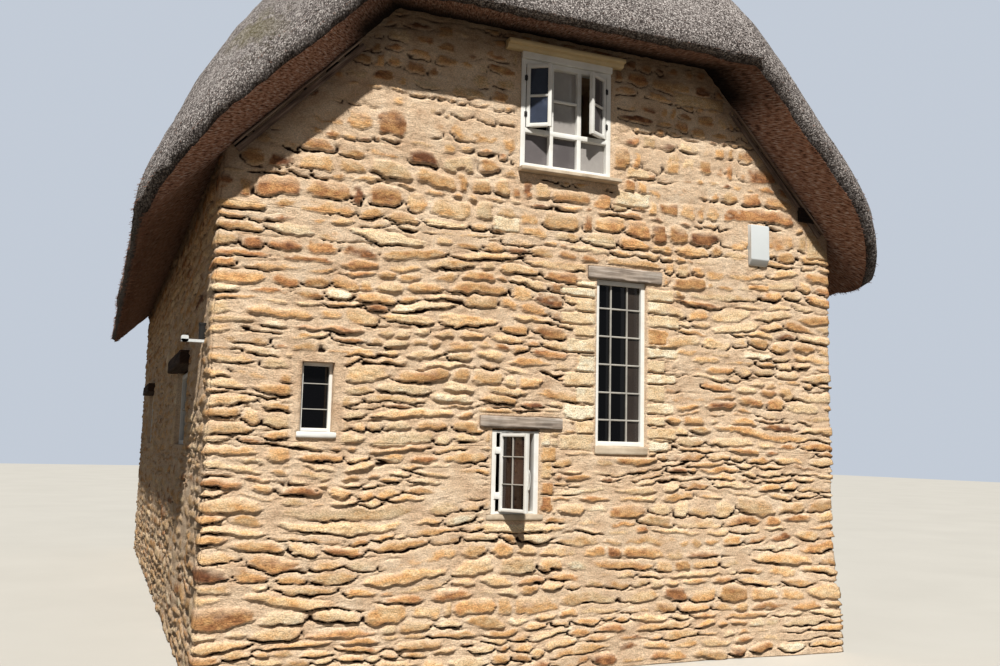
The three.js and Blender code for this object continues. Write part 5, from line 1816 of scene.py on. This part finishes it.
def stage_floor(scene, tones):
    """A flat plain floor under everything."""
    mesh = bpy.data.meshes.new("stage_floor")
    corners = [(x * STAGE_HALF, y * STAGE_HALF, STAGE_LEVEL) for x, y in ((-1, -1), (1, -1), (1, 1), (-1, 1))]
    mesh.from_pydata(corners, [], [(0, 1, 2, 3)])
    floor = bpy.data.objects.new("stage_floor", mesh)
    scene.collection.objects.link(floor)
    finish = plain_finish("stage_floor", tones.stage_shade, tones.stage, 3.0, 0.8, 0.0001)
    tree = finish.node_tree
    inputs = tree.nodes["Principled BSDF"].inputs
    lit = inputs["Base Color"].links[0].from_socket
    seen = tree.nodes.new("ShaderNodeLightPath").outputs["Is Camera Ray"]
    plug(tree, inputs, {"Base Color": mixed(tree, seen, tones.stage_shown, lit)})
    mesh.materials.append(finish)


def stage_world(scene):
    """A soft sky that is brighter to the eye than as a light."""
    world = bpy.data.worlds.new("studio")
    scene.world = world
    world.use_nodes = True
    tree = world.node_tree
    back = tree.nodes["Background"]
    back.inputs["Color"].default_value = SKY
    seen = tree.nodes.new("ShaderNodeLightPath").outputs["Is Camera Ray"]
    tree.links.new(plus(tree, SKY_LIGHT, times(tree, seen, SKY_SEEN)), back.inputs["Strength"])


def stage_lights(scene):
    """The key light and the fill light, each turned to the place it points at."""
    for name, kind, place, aim, power, tint in LIGHTS:
        data = bpy.data.lights.new(name, kind)
        data.energy, data.color = power, tint
        if kind == "SUN":
            data.angle = math.radians(SUN_ANGLE)
        else:
            data.size = FILL_SIZE
        light = bpy.data.objects.new(name, data)
        light.location = place
        light.rotation_euler = (Vector(aim) - Vector(place)).to_track_quat("-Z", "Y").to_euler()
        scene.collection.objects.link(light)


def stage_camera(scene):
    """The camera: yaw turns it right of +Y, pitch lifts it, and roll turns it about its own way forward."""
    yaw, pitch, roll = (math.radians(turn) for turn in EYE_TURNS)
    forward = Vector((math.sin(yaw) * math.cos(pitch), math.cos(yaw) * math.cos(pitch), math.sin(pitch)))
    level = Vector((math.cos(yaw), -math.sin(yaw), 0))
    above = level.cross(forward)
    right = math.cos(roll) * level + math.sin(roll) * above
    up = -math.sin(roll) * level + math.cos(roll) * above
    data = bpy.data.cameras.new("camera")
    data.sensor_width, data.lens = FILM_WIDTH, LENS
    camera = bpy.data.objects.new("camera", data)
    scene.collection.objects.link(camera)
    turn = Matrix((right, up, -forward)).transposed().to_4x4()
    camera.matrix_world = Matrix.Translation(EYE) @ turn
    scene.camera = camera


class COTTAGE_OT_stage(bpy.types.Operator):
    """Makes the plain floor, the soft studio light and the camera"""

    bl_idname = "cottage.stage"
    bl_label = "Stage"

    def execute(self, context):
        scene = context.scene
        stage_floor(scene, scene.cottage_tones)
        stage_world(scene)
        stage_lights(scene)
        stage_camera(scene)
        scene.view_settings.view_transform = "Standard"
        return {"FINISHED"}


class COTTAGE_PT_panel(bpy.types.Panel):
    """Lists the cottage's building steps"""

    bl_idname = "COTTAGE_PT_panel"
    bl_label = "Cottage"
    bl_space_type = "VIEW_3D"
    bl_region_type = "UI"
    bl_category = "Cottage"

    def draw(self, context):
        for step in STEPS:
            self.layout.operator(step.bl_idname)


STEPS = (COTTAGE_OT_stone_walls, COTTAGE_OT_thatch, COTTAGE_OT_upper_windows, COTTAGE_OT_lower_windows,
         COTTAGE_OT_timber, COTTAGE_OT_fittings, COTTAGE_OT_stage)
CLASSES = (CottageSizes, CottageTones, *STEPS, COTTAGE_PT_panel)


def register():
    for kind in CLASSES:
        bpy.utils.register_class(kind)
    bpy.types.Scene.cottage_sizes = bpy.props.PointerProperty(type=CottageSizes)
    bpy.types.Scene.cottage_tones = bpy.props.PointerProperty(type=CottageTones)


def unregister():
    del bpy.types.Scene.cottage_sizes
    del bpy.types.Scene.cottage_tones
    for kind in reversed(CLASSES):
        bpy.utils.unregister_class(kind)


def main():
    """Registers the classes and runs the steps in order."""
    register()
    for step in STEPS:
        family, name = step.bl_idname.split(".")
        getattr(getattr(bpy.ops, family), name)()


if __name__ == "__main__":
    main()
